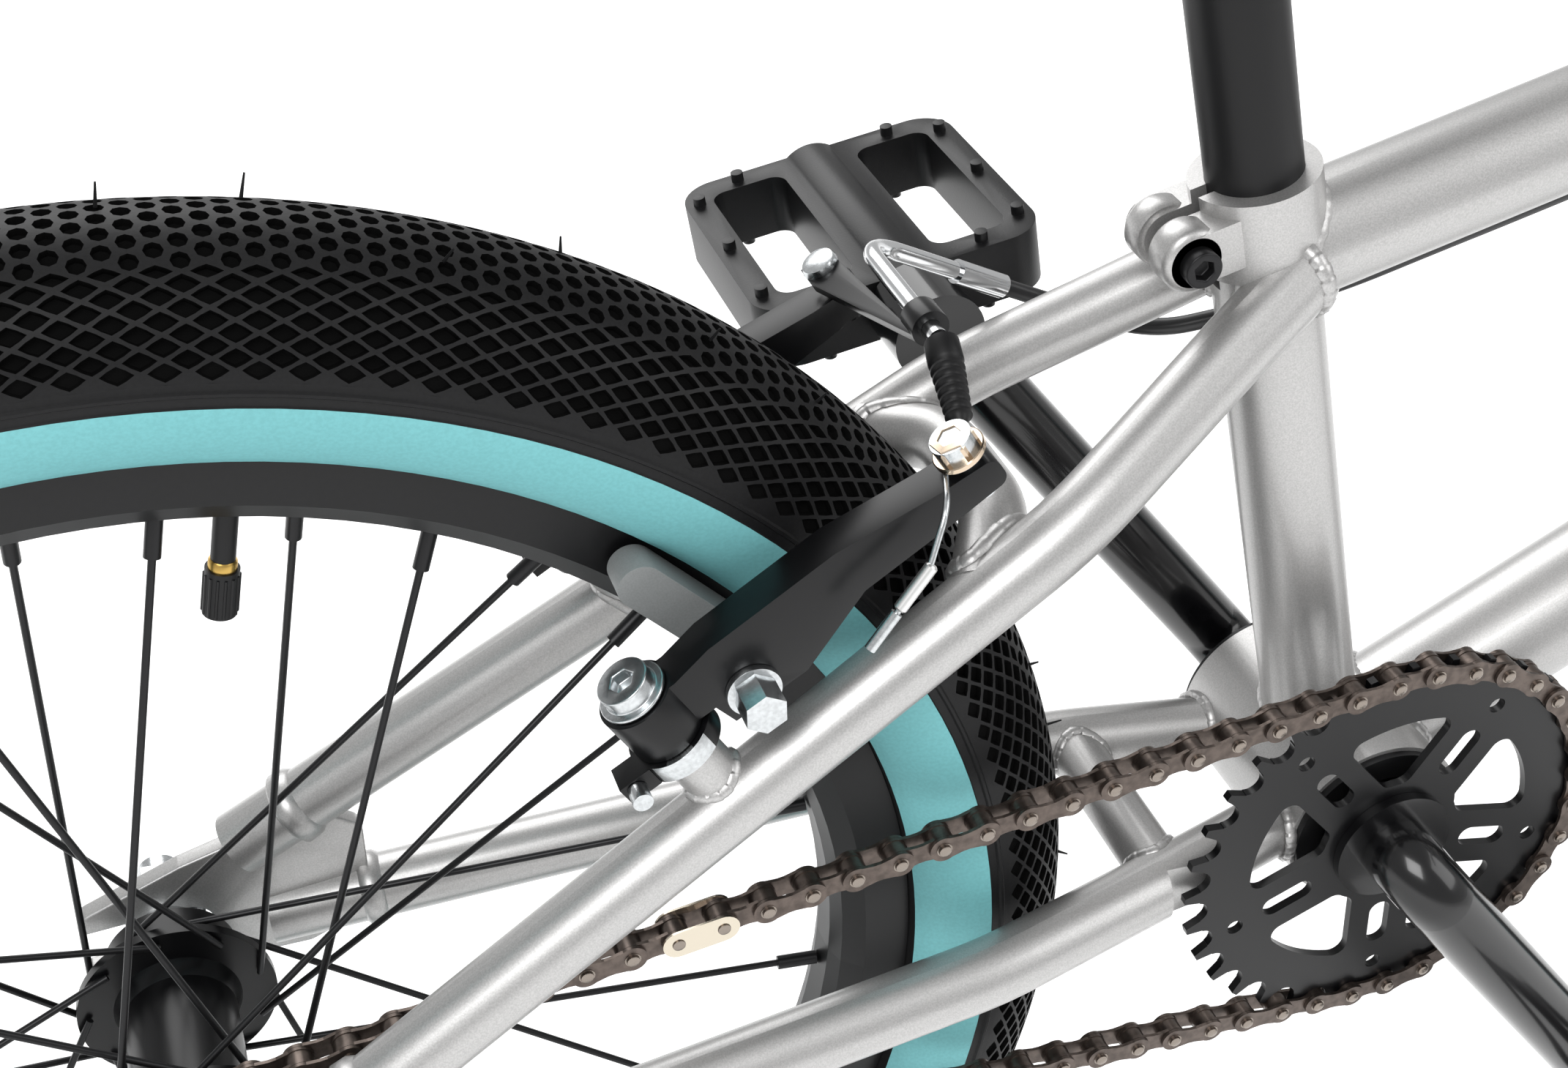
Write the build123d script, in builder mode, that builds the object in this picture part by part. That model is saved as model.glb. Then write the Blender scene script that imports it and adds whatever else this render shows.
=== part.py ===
"""Freestyle BMX bike with a single-speed drive and a rear linear-pull brake.

The origin is on the ground midway between the axles.  +X points forward, +Y to the rider's left
and +Z up, so the chain runs on the -Y side.  All lengths are millimetres, all angles degrees.
"""
import os
from math import asin, atan2, cos, degrees, hypot, pi, radians, sin, tan

from build123d import *

os.makedirs("parts", exist_ok=True)

# ----------------------------------------------------------------------------------------------
# Driving sizes
# ----------------------------------------------------------------------------------------------
wheelbase = 957.0
bottom_bracket_height = 300.0

# drive
chain_pitch = 12.7
chain_links = 80
ring_teeth = 32
cog_teeth = 16
chain_line = 42.0
roller_radius = 3.875
tooth_thickness = 2.6
inner_plate_gap = 3.4
plate_thickness = 1.0
pin_radius = 1.8
pin_length = 9.0
crank_length = 175.0
crank_rest_angle = -48.0
crank_tube_radius = 11.0
crank_arm_offset = 60.0
crank_arm_splay = 14.0
pedal_rest_angle = 13.0
pedal_length = 92.0
pedal_width = 87.0
pedal_thickness = 20.0
pedal_spindle_radius = 7.0

# wheels
tyre_centre_radius = 232.4
tyre_section_radius = 29.4
tyre_wall = 3.2
rim_edge_radius = 209.3
rim_inner_radius = 188.0
rim_width = 30.0
rim_wall = 2.4
spoke_count = 36
spoke_radius = 1.0
spoke_crossing_angle = 60.0
spoke_rest_phase = 7.0
nipple_radius = 2.1
nipple_length = 12.0
rear_axle_radius = 7.0
front_axle_radius = 5.0
rear_hub_spacing = 110.0
front_hub_spacing = 100.0
rear_flange_radius = 28.0
front_flange_radius = 20.0
rear_flange_offset = 27.0
front_flange_offset = 33.0

# frame
seat_tube_angle = 72.5
seat_tube_length = 217.0
seat_tube_radius = 14.3
seat_post_radius = 12.7
top_tube_radius = 16.0
top_tube_seat_join = 191.0
down_tube_radius = 19.05
frame_wall = 1.4
shell_radius = 28.5
shell_bore_radius = 25.65
shell_width = 68.0
head_angle = 74.5
head_tube_length = 115.0
head_tube_radius = 21.5
head_cup_radius = 25.0
head_cup_height = 16.0
seat_stay_radius = 9.7
chain_stay_radius = 10.0
stay_bridge_radius = 9.0
chain_stay_bridge_radius = 8.5
dropout_thickness = 6.0
collar_radius = 17.2
collar_height = 24.0

# front end
fork_length = 315.0
fork_rake = 30.0
steerer_radius = 14.3
fork_leg_radius = 13.0
fork_leg_wall = 1.8
fork_leg_offset = 57.5
bearing_radius = 20.9
bearing_height = 7.0
stem_reach = 48.0
stem_height = 40.0
handlebar_radius = 11.1
handlebar_wall = 1.8
handlebar_rise = 218.0
handlebar_width = 724.0
handlebar_backsweep = 11.0
grip_length = 135.0
grip_radius = 15.0

# seat
seat_post_length = 170.0
seat_post_insertion = 75.0
saddle_length = 235.0
saddle_width = 120.0

# brake
brake_pivot_offset = 45.0
brake_pivot_station = 175.6
brake_arm_length = 97.0
brake_pad_gap = 2.1
housing_radius = 2.5
cable_radius = 0.8

# fits
running_clearance = 0.06
slip_clearance = 0.05

# ----------------------------------------------------------------------------------------------
# Layout worked out from the driving sizes
# ----------------------------------------------------------------------------------------------
LEFT = Vector(0, 1, 0)
axle_height = tyre_centre_radius + tyre_section_radius
rear_axle_point = Vector(-wheelbase / 2, 0, axle_height)
front_axle_point = Vector(wheelbase / 2, 0, axle_height)
ring_radius = chain_pitch / (2 * sin(pi / ring_teeth))
cog_radius = chain_pitch / (2 * sin(pi / cog_teeth))
ring_pitch_length = ring_teeth * chain_pitch / (2 * pi)
cog_pitch_length = cog_teeth * chain_pitch / (2 * pi)


def chain_stay_length_for(links):
    """Axle-to-crank distance at which a closed chain of so many links is just tight."""
    length = 28 * chain_pitch
    for _ in range(40):
        wrap = asin((ring_radius - cog_radius) / length)
        arcs = (pi + 2 * wrap) * ring_pitch_length + (pi - 2 * wrap) * cog_pitch_length
        length = (links * chain_pitch - arcs) / (2 * cos(wrap))
    return length


chain_stay_length = chain_stay_length_for(chain_links)
rear_rise = asin((bottom_bracket_height - axle_height) / chain_stay_length)
rear_along = Vector(cos(rear_rise), 0, sin(rear_rise))
rear_square = Vector(-sin(rear_rise), 0, cos(rear_rise))
shell_point = rear_axle_point + rear_along * chain_stay_length


def rear(x, y, z):
    """Point in the rear triangle: x from the axle towards the crank, z square to that line."""
    return rear_axle_point + rear_along * x + LEFT * y + rear_square * z


# the seat stays lie in one sloping plane: u runs up the stay and b stands square to the plane
stay_slope = radians(28.8)
stay_plane_height = 8.76
stay_u = rear_along * cos(stay_slope) + rear_square * sin(stay_slope)
stay_b = rear_along * -sin(stay_slope) + rear_square * cos(stay_slope)


def brake(s, y, h):
    """Point near the seat stays: s up the stay from the axle, h above the stays' plane."""
    return rear_axle_point + stay_u * s + LEFT * y + stay_b * (h + stay_plane_height)


seat_axis = Vector(-cos(radians(seat_tube_angle)), 0, sin(radians(seat_tube_angle)))
seat_square = Vector(seat_axis.Z, 0, -seat_axis.X)
seat_tube_top = shell_point + seat_axis * seat_tube_length
steer_axis = Vector(-cos(radians(head_angle)), 0, sin(radians(head_angle)))
steer_square = Vector(steer_axis.Z, 0, -steer_axis.X)
steer_foot = front_axle_point - steer_square * fork_rake
crown_point = steer_foot + steer_axis * fork_length
head_bottom = crown_point + steer_axis * 2.0
head_top = head_bottom + steer_axis * head_tube_length
top_tube_rear = shell_point + seat_axis * top_tube_seat_join
top_tube_front = head_top - steer_axis * 23.0
down_tube_front = head_bottom + steer_axis * 24.0
top_tube_line = top_tube_front - top_tube_rear
down_tube_line = down_tube_front - shell_point
top_tube_axis = top_tube_line.normalized()
top_tube_under = Vector(top_tube_axis.Z, 0, -top_tube_axis.X)


def cross_plane(origin, axis):
    """Sketch plane across an axis, with its own x as near the bike's left as it can be."""
    return Plane(origin=origin, x_dir=LEFT, z_dir=axis)


def side_plane(origin, y=0.0):
    """Sketch plane seen from the drive side, at a distance y to the left of the centre plane."""
    return Plane(origin=Vector(origin.X, y, origin.Z), x_dir=(1, 0, 0), z_dir=(0, -1, 0))


def wheel_section(origin):
    """Sketch plane through a wheel's axis: its x is the radius and its y runs along the axle."""
    return Plane(origin=origin, x_dir=(1, 0, 0), z_dir=(0, 0, 1))


def rod(start, end, radius):
    """Solid round bar from one point to another, made on its own for cutting and adding."""
    line = end - start
    return Plane(origin=start, z_dir=line) * Cylinder(
        radius, line.length, align=(Align.CENTER, Align.CENTER, Align.MIN), mode=Mode.PRIVATE)


def ring_bar(start, end, outer, inner):
    """Tube from one point to another, made on its own."""
    overrun = (end - start).normalized()
    return rod(start, end, outer) - rod(start - overrun, end + overrun, inner)


def swept(points, radii, radius):
    """Solid round bar bent along straight runs and tangent arcs."""
    path = FilletPolyline(*points, radius=radii)
    profile = Plane(origin=path @ 0, z_dir=path % 0) * Circle(radius)
    return sweep(profile, path=path)


def other_side(point):
    """The same point mirrored across the bike's centre plane."""
    return Vector(point.X, -point.Y, point.Z)


def both_sides(shape):
    """The shape and its mirror image across the bike's centre plane."""
    return [shape, mirror(shape, about=Plane.XZ, mode=Mode.PRIVATE)]


def save(part, name):
    """Label a finished piece and write its STEP file."""
    part.label = name
    export_step(part, f"parts/{name}.step")


# ----------------------------------------------------------------------------------------------
# Frame tubes
# ----------------------------------------------------------------------------------------------
head_cutter = rod(head_bottom - steer_axis * 6, head_top + steer_axis * 6, head_tube_radius)
shell_blank = rod(shell_point - LEFT * shell_width / 2, shell_point + LEFT * shell_width / 2, shell_radius)
seat_blank = rod(shell_point, seat_tube_top, seat_tube_radius)
collar_blank = rod(seat_tube_top - seat_axis * collar_height, seat_tube_top, collar_radius)
top_tube_blank = rod(top_tube_rear, top_tube_front, top_tube_radius)

with BuildPart() as head_tube:
    with BuildSketch(Plane(origin=head_bottom, x_dir=steer_square, z_dir=(0, -1, 0))):
        with BuildLine():
            Polyline(
                (steerer_radius + 1.4, head_cup_height),
                (bearing_radius + slip_clearance, head_cup_height - 2),
                (bearing_radius + slip_clearance, 0),
                (head_cup_radius, 0),
                (head_cup_radius, head_cup_height * 0.62),
                (head_tube_radius, head_cup_height + 1.5),
                (head_tube_radius, head_tube_length - head_cup_height - 1.5),
                (head_cup_radius, head_tube_length - head_cup_height * 0.62),
                (head_cup_radius, head_tube_length),
                (bearing_radius + slip_clearance, head_tube_length),
                (bearing_radius + slip_clearance, head_tube_length - head_cup_height + 2),
                (steerer_radius + 1.4, head_tube_length - head_cup_height),
                close=True,
            )
        make_face()
    revolve(axis=Axis(head_bottom, steer_axis))
save(head_tube.part, "head_tube")

with BuildPart() as bottom_bracket_shell:
    with BuildSketch(side_plane(shell_point, shell_width / 2)):
        Circle(shell_radius)
        Circle(shell_bore_radius, mode=Mode.SUBTRACT)
    extrude(amount=shell_width)
save(bottom_bracket_shell.part, "bottom_bracket_shell")

with BuildPart() as top_tube:
    with BuildSketch(cross_plane(top_tube_rear + top_tube_axis * 5, top_tube_axis)):
        Circle(top_tube_radius)
        Circle(top_tube_radius - frame_wall, mode=Mode.SUBTRACT)
    extrude(amount=top_tube_line.length - 5)
    add([head_cutter, head_tube.part, seat_blank, collar_blank], mode=Mode.SUBTRACT)
save(top_tube.part, "top_tube")

with BuildPart() as down_tube:
    with BuildSketch(cross_plane(shell_point, down_tube_line)):
        Circle(down_tube_radius)
        Circle(down_tube_radius - frame_wall, mode=Mode.SUBTRACT)
    extrude(amount=down_tube_line.length)
    add([head_cutter, head_tube.part, shell_blank], mode=Mode.SUBTRACT)
save(down_tube.part, "down_tube")

# the seat tube ends in a split collar: two ears behind it are pulled together by one bolt
seat_bore_radius = seat_post_radius + slip_clearance
ear_station = seat_tube_length - 11.0
ear_reach = 24.5
ear_radius = 7.0
ear_half_gap = 2.2
ear_outer = 13.0
ear_point = shell_point + seat_axis * ear_station - seat_square * ear_reach
clamp_bolt_radius = 3.0
ear_blank = rod(ear_point - LEFT * ear_outer, ear_point + LEFT * ear_outer, ear_radius)

with BuildPart() as seat_tube:
    with BuildSketch(cross_plane(shell_point, seat_axis)):
        Circle(seat_tube_radius)
    extrude(amount=seat_tube_length)
    add(collar_blank)
    add(ear_blank)
    with BuildSketch(cross_plane(ear_point - seat_axis * ear_radius, seat_axis)):
        with Locations((0, -ear_reach / 2)):
            Rectangle(2 * ear_outer, ear_reach)
    extrude(amount=2 * ear_radius)
    with BuildSketch(cross_plane(shell_point, seat_axis)):
        Circle(seat_bore_radius)
    extrude(amount=seat_tube_length + 1, mode=Mode.SUBTRACT)
    with BuildSketch(cross_plane(seat_tube_top - seat_axis * (collar_height + 6), seat_axis)):
        with Locations((0, ear_reach)):
            Rectangle(2 * ear_half_gap, 2 * ear_reach)
    extrude(amount=collar_height + 8, mode=Mode.SUBTRACT)
    add(rod(ear_point - LEFT * 20, ear_point + LEFT * 20, clamp_bolt_radius + 0.2), mode=Mode.SUBTRACT)
    add(shell_blank, mode=Mode.SUBTRACT)
save(seat_tube.part, "seat_tube")

# ----------------------------------------------------------------------------------------------
# Stays, bridges, dropouts and brake bosses
# ----------------------------------------------------------------------------------------------
dropout_inner = rear_hub_spacing / 2
dropout_middle = dropout_inner + dropout_thickness / 2
stay_end_offset = dropout_middle + 1.0
seat_stay_route = [
    brake(34, stay_end_offset, 0),
    brake(285, 39.0, 0),
    brake(346, 20.0, 0),
    brake(372, 12.5, 0),
]
seat_stay_bends = [120.0, 60.0]
chain_stay_route = [
    rear(30, stay_end_offset, -6),
    rear(223, 46.5, -1.5),
    rear(285, 33.5, 0),
    rear(chain_stay_length - 14, 20.0, 0),
]
chain_stay_bends = [150.0, 180.0]
ring_tip_radius = ring_radius + 3.6
ring_clear_radius = ring_tip_radius + 4.5
ring_clear_offset = chain_line - tooth_thickness / 2 - 2.6
stay_wall = 1.4

with BuildPart() as dropouts:
    with BuildSketch(Plane(origin=rear(0, dropout_inner, 0), x_dir=rear_along, z_dir=LEFT)):
        with BuildLine():
            Polyline((-24, 15), (40, 19), (60, 12), (62, -22), (48, -33), (8, -24), (-24, -13), close=True)
        make_face()
        fillet(vertices(), 5.0)
        with Locations((-14, 0)):
            SlotOverall(4 * rear_axle_radius + 28, 2 * rear_axle_radius + 0.3, mode=Mode.SUBTRACT)
    extrude(amount=dropout_thickness)
    mirror(about=Plane.XZ)
save(dropouts.part, "dropouts")

left_seat_stay = swept(seat_stay_route, seat_stay_bends, seat_stay_radius)
left_seat_stay_core = swept(seat_stay_route, seat_stay_bends, seat_stay_radius - stay_wall)
left_chain_stay = swept(chain_stay_route, chain_stay_bends, chain_stay_radius)
left_chain_stay_core = swept(chain_stay_route, chain_stay_bends, chain_stay_radius - stay_wall)

with BuildPart() as seat_stays:
    add(left_seat_stay - left_seat_stay_core)
    mirror(about=Plane.XZ)
    add([seat_blank, collar_blank, top_tube_blank, dropouts.part], mode=Mode.SUBTRACT)
save(seat_stays.part, "seat_stays")

# the drive-side chain stay is pressed flat where the chainring passes it
ring_clearance = rod(shell_point - LEFT * ring_clear_offset, shell_point - LEFT * 80, ring_clear_radius)
ring_clearance_core = rod(
    shell_point - LEFT * (ring_clear_offset - stay_wall),
    shell_point - LEFT * 80,
    ring_clear_radius + stay_wall,
)
right_chain_stay = mirror(left_chain_stay, about=Plane.XZ) - ring_clearance
right_chain_stay_core = mirror(left_chain_stay_core, about=Plane.XZ) - ring_clearance_core

with BuildPart() as chain_stays:
    add(left_chain_stay - left_chain_stay_core)
    add(right_chain_stay - right_chain_stay_core)
    add([shell_blank, dropouts.part], mode=Mode.SUBTRACT)
save(chain_stays.part, "chain_stays")

seat_bridge_station = 257.0
seat_bridge_crest = 272.0
seat_bridge_route = [
    brake(seat_bridge_station, -40, 1),
    brake(seat_bridge_crest, -18, 1),
    brake(seat_bridge_crest, 18, 1),
    brake(seat_bridge_station, 40, 1),
]
chain_bridge_station = 284.0
seat_bridge_blank = swept(seat_bridge_route, [26.0, 26.0], stay_bridge_radius)
seat_bridge_core = swept(seat_bridge_route, [26.0, 26.0], stay_bridge_radius - stay_wall)
chain_bridge_ends = [rear(chain_bridge_station, side * 34, 0) for side in (-1, 1)]

with BuildPart() as stay_bridges:
    add(seat_bridge_blank - seat_bridge_core)
    add(ring_bar(*chain_bridge_ends, chain_stay_bridge_radius, chain_stay_bridge_radius - stay_wall))
    add(rod(brake(seat_bridge_crest, 0, 1), brake(seat_bridge_crest, 0, 20), 3.2), mode=Mode.SUBTRACT)
    for stay in (left_seat_stay, left_chain_stay):
        add(both_sides(stay), mode=Mode.SUBTRACT)
save(stay_bridges.part, "stay_bridges")

boss_radius = 7.5
boss_height = 24.0
boss_stud_radius = 4.0
boss_stud_height = 45.0
boss_foot = brake(brake_pivot_station, brake_pivot_offset, 0)

with BuildPart() as brake_bosses:
    add(rod(boss_foot, boss_foot + stay_b * boss_height, boss_radius))
    add(rod(boss_foot, boss_foot + stay_b * boss_stud_height, boss_stud_radius))
    mirror(about=Plane.XZ)
    add(both_sides(left_seat_stay), mode=Mode.SUBTRACT)
save(brake_bosses.part, "brake_bosses")

# ----------------------------------------------------------------------------------------------
# Brake housing and the guides that hold it under the top tube
# ----------------------------------------------------------------------------------------------
housing_drop = top_tube_radius + housing_radius + 0.8
guide_shares = (0.18, 0.44, 0.7)
guide_width = 9.0
guide_wall = 1.6


def under_top_tube(share):
    """Point on the housing's line under the top tube, at a share of the tube's length."""
    return top_tube_rear + top_tube_line * share + top_tube_under * housing_drop


with BuildPart() as cable_guides:
    for share in guide_shares:
        middle = under_top_tube(share)
        half = top_tube_axis * guide_width / 2
        add(ring_bar(
            middle - half, middle + half, housing_radius + guide_wall, housing_radius + slip_clearance))
    add(top_tube_blank, mode=Mode.SUBTRACT)
save(cable_guides.part, "cable_guides")

# the handlebar is laid out first, because the housing starts at its lever
stem_base = head_top + steer_axis * 14.0
bar_point = stem_base + steer_axis * (stem_height / 2) + steer_square * stem_reach
bar_up = steer_axis
sweep_back = tan(radians(handlebar_backsweep))
bar_foot_half = 68.0
bar_knee_half = 165.0
bar_end_half = handlebar_width / 2
bar_upsweep = 4.0


def bar(y, up, back=0.0):
    """Point of the handlebar: y to the left, up from its clamp, and back towards the rider."""
    return bar_point + LEFT * y + bar_up * up - steer_square * back


bar_half_route = [
    bar(bar_foot_half, 0),
    bar(bar_knee_half, handlebar_rise - bar_upsweep),
    bar(bar_end_half, handlebar_rise, (bar_end_half - bar_knee_half) * sweep_back),
]
bar_route = [other_side(point) for point in reversed(bar_half_route)] + bar_half_route
bar_bends = [40.0, 60.0, 60.0, 40.0]
grip_start = bar_half_route[1]
grip_end = bar_half_route[2]
grip_axis = (grip_end - grip_start).normalized()
right_grip_axis = other_side(grip_axis)
right_grip_end = other_side(grip_end)
lever_root = right_grip_end - right_grip_axis * (grip_length + 18.0)
lever_ahead = (steer_square * 0.94 - steer_axis * 0.34).normalized()
lever_ahead = (lever_ahead - right_grip_axis * lever_ahead.dot(right_grip_axis)).normalized()
lever_normal = right_grip_axis.cross(lever_ahead).normalized()
lever_reach = 27.0


def lever(out, ahead, up=0.0):
    """Point near the brake lever: out along the right grip, ahead of it, and square to both."""
    return lever_root + right_grip_axis * out + lever_ahead * ahead + lever_normal * up


head_side = -(head_cup_radius + 9.0)
noodle_height = 50.5
noodle_tip = -9.0
noodle_station = brake_pivot_station + brake_arm_length + 12.5
noodle_elbow = brake(noodle_station, 46, noodle_height)
noodle_end = brake(311, 53.5, 4)
noodle_heading = (noodle_end - noodle_elbow).normalized()
housing_route = [
    lever(-34.4, lever_reach),
    lever(-74.0, lever_reach + 2.0),
    lever(-116.0, lever_reach + 14.0, -6.0),
    bar(-66.0, 176.0, -66.0),
    bar(-44.0, 122.0, -72.0),
    bar(-41.0, 66.0, -64.0),
    bar(-43.0, 14.0, -46.0),
    head_top - steer_axis * 2.0 + LEFT * head_side + steer_square * 46.0,
    head_top - steer_axis * 58.0 + LEFT * head_side + steer_square * 24.0,
    head_top - steer_axis * 72.0 + LEFT * (head_side + 2.0) - steer_square * 32.0,
    under_top_tube(0.87) - LEFT * 9.0 + top_tube_under * 5.0,
    under_top_tube(0.76),
    under_top_tube(0.14),
    rear(374, 3, 177),
    rear(346, 12, 164),
    rear(322, 22, 156),
    rear(302, 31, 150),
    brake(323, 51.5, -14),
    noodle_end + noodle_heading * 0.9,
]

housing_smoothness = 0.45


def route_bends(route):
    """Largest tangent arc at each inner corner of a route."""
    bends = []
    for before, corner, after in zip(route, route[1:], route[2:]):
        shorter = min((corner - before).length, (after - corner).length)
        turn = radians((corner - before).get_angle(after - corner))
        bends.append(housing_smoothness * shorter / tan(turn / 2))
    return bends


housing_bends = route_bends(housing_route)
housing_path = FilletPolyline(*housing_route, radius=housing_bends)

with BuildPart() as brake_housing:
    with BuildSketch(Plane(origin=housing_path @ 0, z_dir=housing_path % 0)):
        Circle(housing_radius)
    sweep(path=housing_path)
save(brake_housing.part, "brake_housing")

# ----------------------------------------------------------------------------------------------
# Fixed hardware on the frame
# ----------------------------------------------------------------------------------------------
with BuildPart() as seat_clamp_bolt:
    add(rod(ear_point - LEFT * (ear_outer + 4.5), ear_point - LEFT * ear_outer, 5.0))
    add(rod(ear_point - LEFT * (ear_outer + 1), ear_point + LEFT * (ear_outer - 2), clamp_bolt_radius))
    with BuildSketch(Plane(origin=ear_point - LEFT * (ear_outer + 4.5), x_dir=seat_axis, z_dir=LEFT)):
        RegularPolygon(2.9, 6)
    extrude(amount=3.0, mode=Mode.SUBTRACT)
save(seat_clamp_bolt.part, "seat_clamp_bolt")

spindle_radius = 11.0
cup_flange = 2.2
with BuildPart() as bottom_bracket_cups:
    with BuildSketch(wheel_section(shell_point)):
        with BuildLine():
            Polyline(
                (shell_bore_radius - slip_clearance, shell_width / 2 - 12),
                (shell_bore_radius - slip_clearance, shell_width / 2),
                (shell_bore_radius + 1.6, shell_width / 2),
                (shell_bore_radius + 1.6, shell_width / 2 + cup_flange),
                (19.0, shell_width / 2 + cup_flange),
                (19.0, shell_width / 2 - 9),
                (14.5, shell_width / 2 - 9),
                (14.5, shell_width / 2 - 12),
                close=True,
            )
        make_face()
    revolve(axis=Axis(shell_point, (0, 1, 0)))
    mirror(about=Plane.XZ)
save(bottom_bracket_cups.part, "bottom_bracket_cups")

bearing_bore = steerer_radius + running_clearance
with BuildPart() as headset_bearings:
    for seat, rise in ((head_bottom, 1), (head_top, -1)):
        start = seat + steer_axis * rise * 0.5
        end = start + steer_axis * rise * bearing_height
        add(ring_bar(start, end, bearing_radius, bearing_bore))
save(headset_bearings.part, "headset_bearings")

nut_washer_thickness = 2.0
rear_nut_thickness = 12.0
front_nut_thickness = 9.0
axle_relief = 1.5
peg_end_radius = 6.5
peg_end_length = 6.0
with BuildPart() as rear_axle:
    nut_face = dropout_inner + dropout_thickness + nut_washer_thickness + rear_nut_thickness
    peg_face = nut_face + axle_relief
    rear_tip = peg_face + peg_end_length
    add(rod(rear_axle_point - LEFT * nut_face, rear_axle_point + LEFT * nut_face, rear_axle_radius))
    for side in (-1, 1):
        inner = rear_axle_point + LEFT * side * (dropout_inner - 8.5)
        outer = rear_axle_point + LEFT * side * dropout_inner
        add(rod(inner, outer, rear_axle_radius + 3.5))
        peg_start = rear_axle_point + LEFT * side * peg_face
        peg_stop = rear_axle_point + LEFT * side * rear_tip
        add(rod(rear_axle_point + LEFT * side * (nut_face - 1.0), peg_start, peg_end_radius - 0.6))
        add(rod(peg_start, peg_stop, peg_end_radius))
save(rear_axle.part, "rear_axle")


def axle_nut(point, side, bore, across, thickness):
    """Hexagon nut with a washer under it, bearing on a dropout's outer face."""
    seat = point + LEFT * side * nut_washer_thickness
    washer = ring_bar(point, seat, across * 0.62, bore)
    face = Plane(origin=seat, x_dir=(1, 0, 0), z_dir=LEFT * side)
    nut = extrude(face * RegularPolygon(across / 2, 6, major_radius=False), amount=thickness)
    return [washer, nut - rod(point - LEFT * side * 5, point + LEFT * side * 40, bore)]


left_rear_nut = axle_nut(
    rear_axle_point + LEFT * (dropout_inner + dropout_thickness), 1,
    rear_axle_radius + slip_clearance, 19.0, rear_nut_thickness)
with BuildPart() as rear_axle_nuts:
    add(left_rear_nut)
    mirror(about=Plane.XZ)
save(rear_axle_nuts.part, "rear_axle_nuts")

# ----------------------------------------------------------------------------------------------
# Seat post and saddle
# ----------------------------------------------------------------------------------------------
post_bottom = seat_tube_top - seat_axis * seat_post_insertion
post_top = post_bottom + seat_axis * seat_post_length
saddle_bolt_point = post_top + seat_axis * 6.0
saddle_pivot_radius = 11.0
saddle_pivot_half = 9.5
saddle_bolt_radius = 4.0

with BuildPart() as seat_post:
    with BuildSketch(cross_plane(post_bottom, seat_axis)):
        Circle(seat_post_radius)
    extrude(amount=seat_post_length - 14)
    with BuildSketch(cross_plane(post_top - seat_axis * 16, seat_axis)):
        Rectangle(2 * saddle_pivot_half, 20)
    extrude(amount=20)
    add(rod(saddle_bolt_point - LEFT * saddle_pivot_half,
            saddle_bolt_point + LEFT * saddle_pivot_half, saddle_pivot_radius))
    with BuildSketch(cross_plane(post_bottom, seat_axis)):
        Circle(seat_post_radius - 2.4)
    extrude(amount=seat_post_length - 30, mode=Mode.SUBTRACT)
    add(rod(saddle_bolt_point - LEFT * 40, saddle_bolt_point + LEFT * 40,
            saddle_bolt_radius + running_clearance), mode=Mode.SUBTRACT)
save(seat_post.part, "seat_post")

saddle_cheek = 5.0
saddle_cheek_gap = 0.4
cheek_inner = saddle_pivot_half + saddle_cheek_gap
cheek_outer = cheek_inner + saddle_cheek
with BuildPart() as seat_bolt:
    add(rod(saddle_bolt_point - LEFT * (cheek_outer + 5), saddle_bolt_point + LEFT * (cheek_outer + 5),
            saddle_bolt_radius))
    for side in (-1, 1):
        start = saddle_bolt_point + LEFT * side * (cheek_outer + 0.1)
        add(rod(start, start + LEFT * side * 4.9, 7.0))
save(seat_bolt.part, "seat_bolt")

# the saddle: a moulded base plate with two cheeks round the post's head, and a padded cover
saddle_deck = saddle_bolt_point + Vector(0, 0, 17.0)
saddle_tail = saddle_deck.X - 88.0
saddle_thickness = 22.0


def saddle_outline(grow, z):
    """Pear-shaped outline, wide behind and narrow in front, as a sketch at a height."""
    half = saddle_width / 2 + grow
    nose = 17.0 + grow
    tip = saddle_tail + saddle_length + grow
    back = saddle_tail - grow
    points = [
        (back, 0),
        (back + 12, half * 0.62),
        (back + 42, half),
        (back + 92, half * 0.72),
        (back + 150, nose + 5),
        (tip - 14, nose),
        (tip, 0),
    ]
    mirrored = [(x, -y) for x, y in reversed(points[1:-1])]
    plane = Plane(origin=(0, 0, z), x_dir=(1, 0, 0), z_dir=(0, 0, 1))
    return plane * make_face(Spline(*points, *mirrored, periodic=True))


saddle_base_deck = extrude(saddle_outline(-6.0, saddle_deck.Z - 5.0), amount=5.0)
with BuildPart() as saddle_base:
    add(saddle_base_deck)
    for side in (-1, 1):
        with BuildSketch(side_plane(saddle_bolt_point, side * (cheek_inner + saddle_cheek / 2))):
            Circle(12.0)
            with Locations((0, 7)):
                Rectangle(24, 14)
        extrude(amount=saddle_cheek / 2, both=True)
    add(rod(saddle_bolt_point - LEFT * 40, saddle_bolt_point + LEFT * 40,
            saddle_bolt_radius + slip_clearance), mode=Mode.SUBTRACT)
save(saddle_base.part, "saddle_base")

pad_base = saddle_outline(0.0, saddle_deck.Z + 0.4)
pad_top = saddle_outline(-7.0, saddle_deck.Z + saddle_thickness)
saddle_pad = loft([pad_base, pad_top])
with BuildPart() as saddle_cover:
    add(saddle_pad)
save(saddle_cover.part, "saddle_cover")

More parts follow.
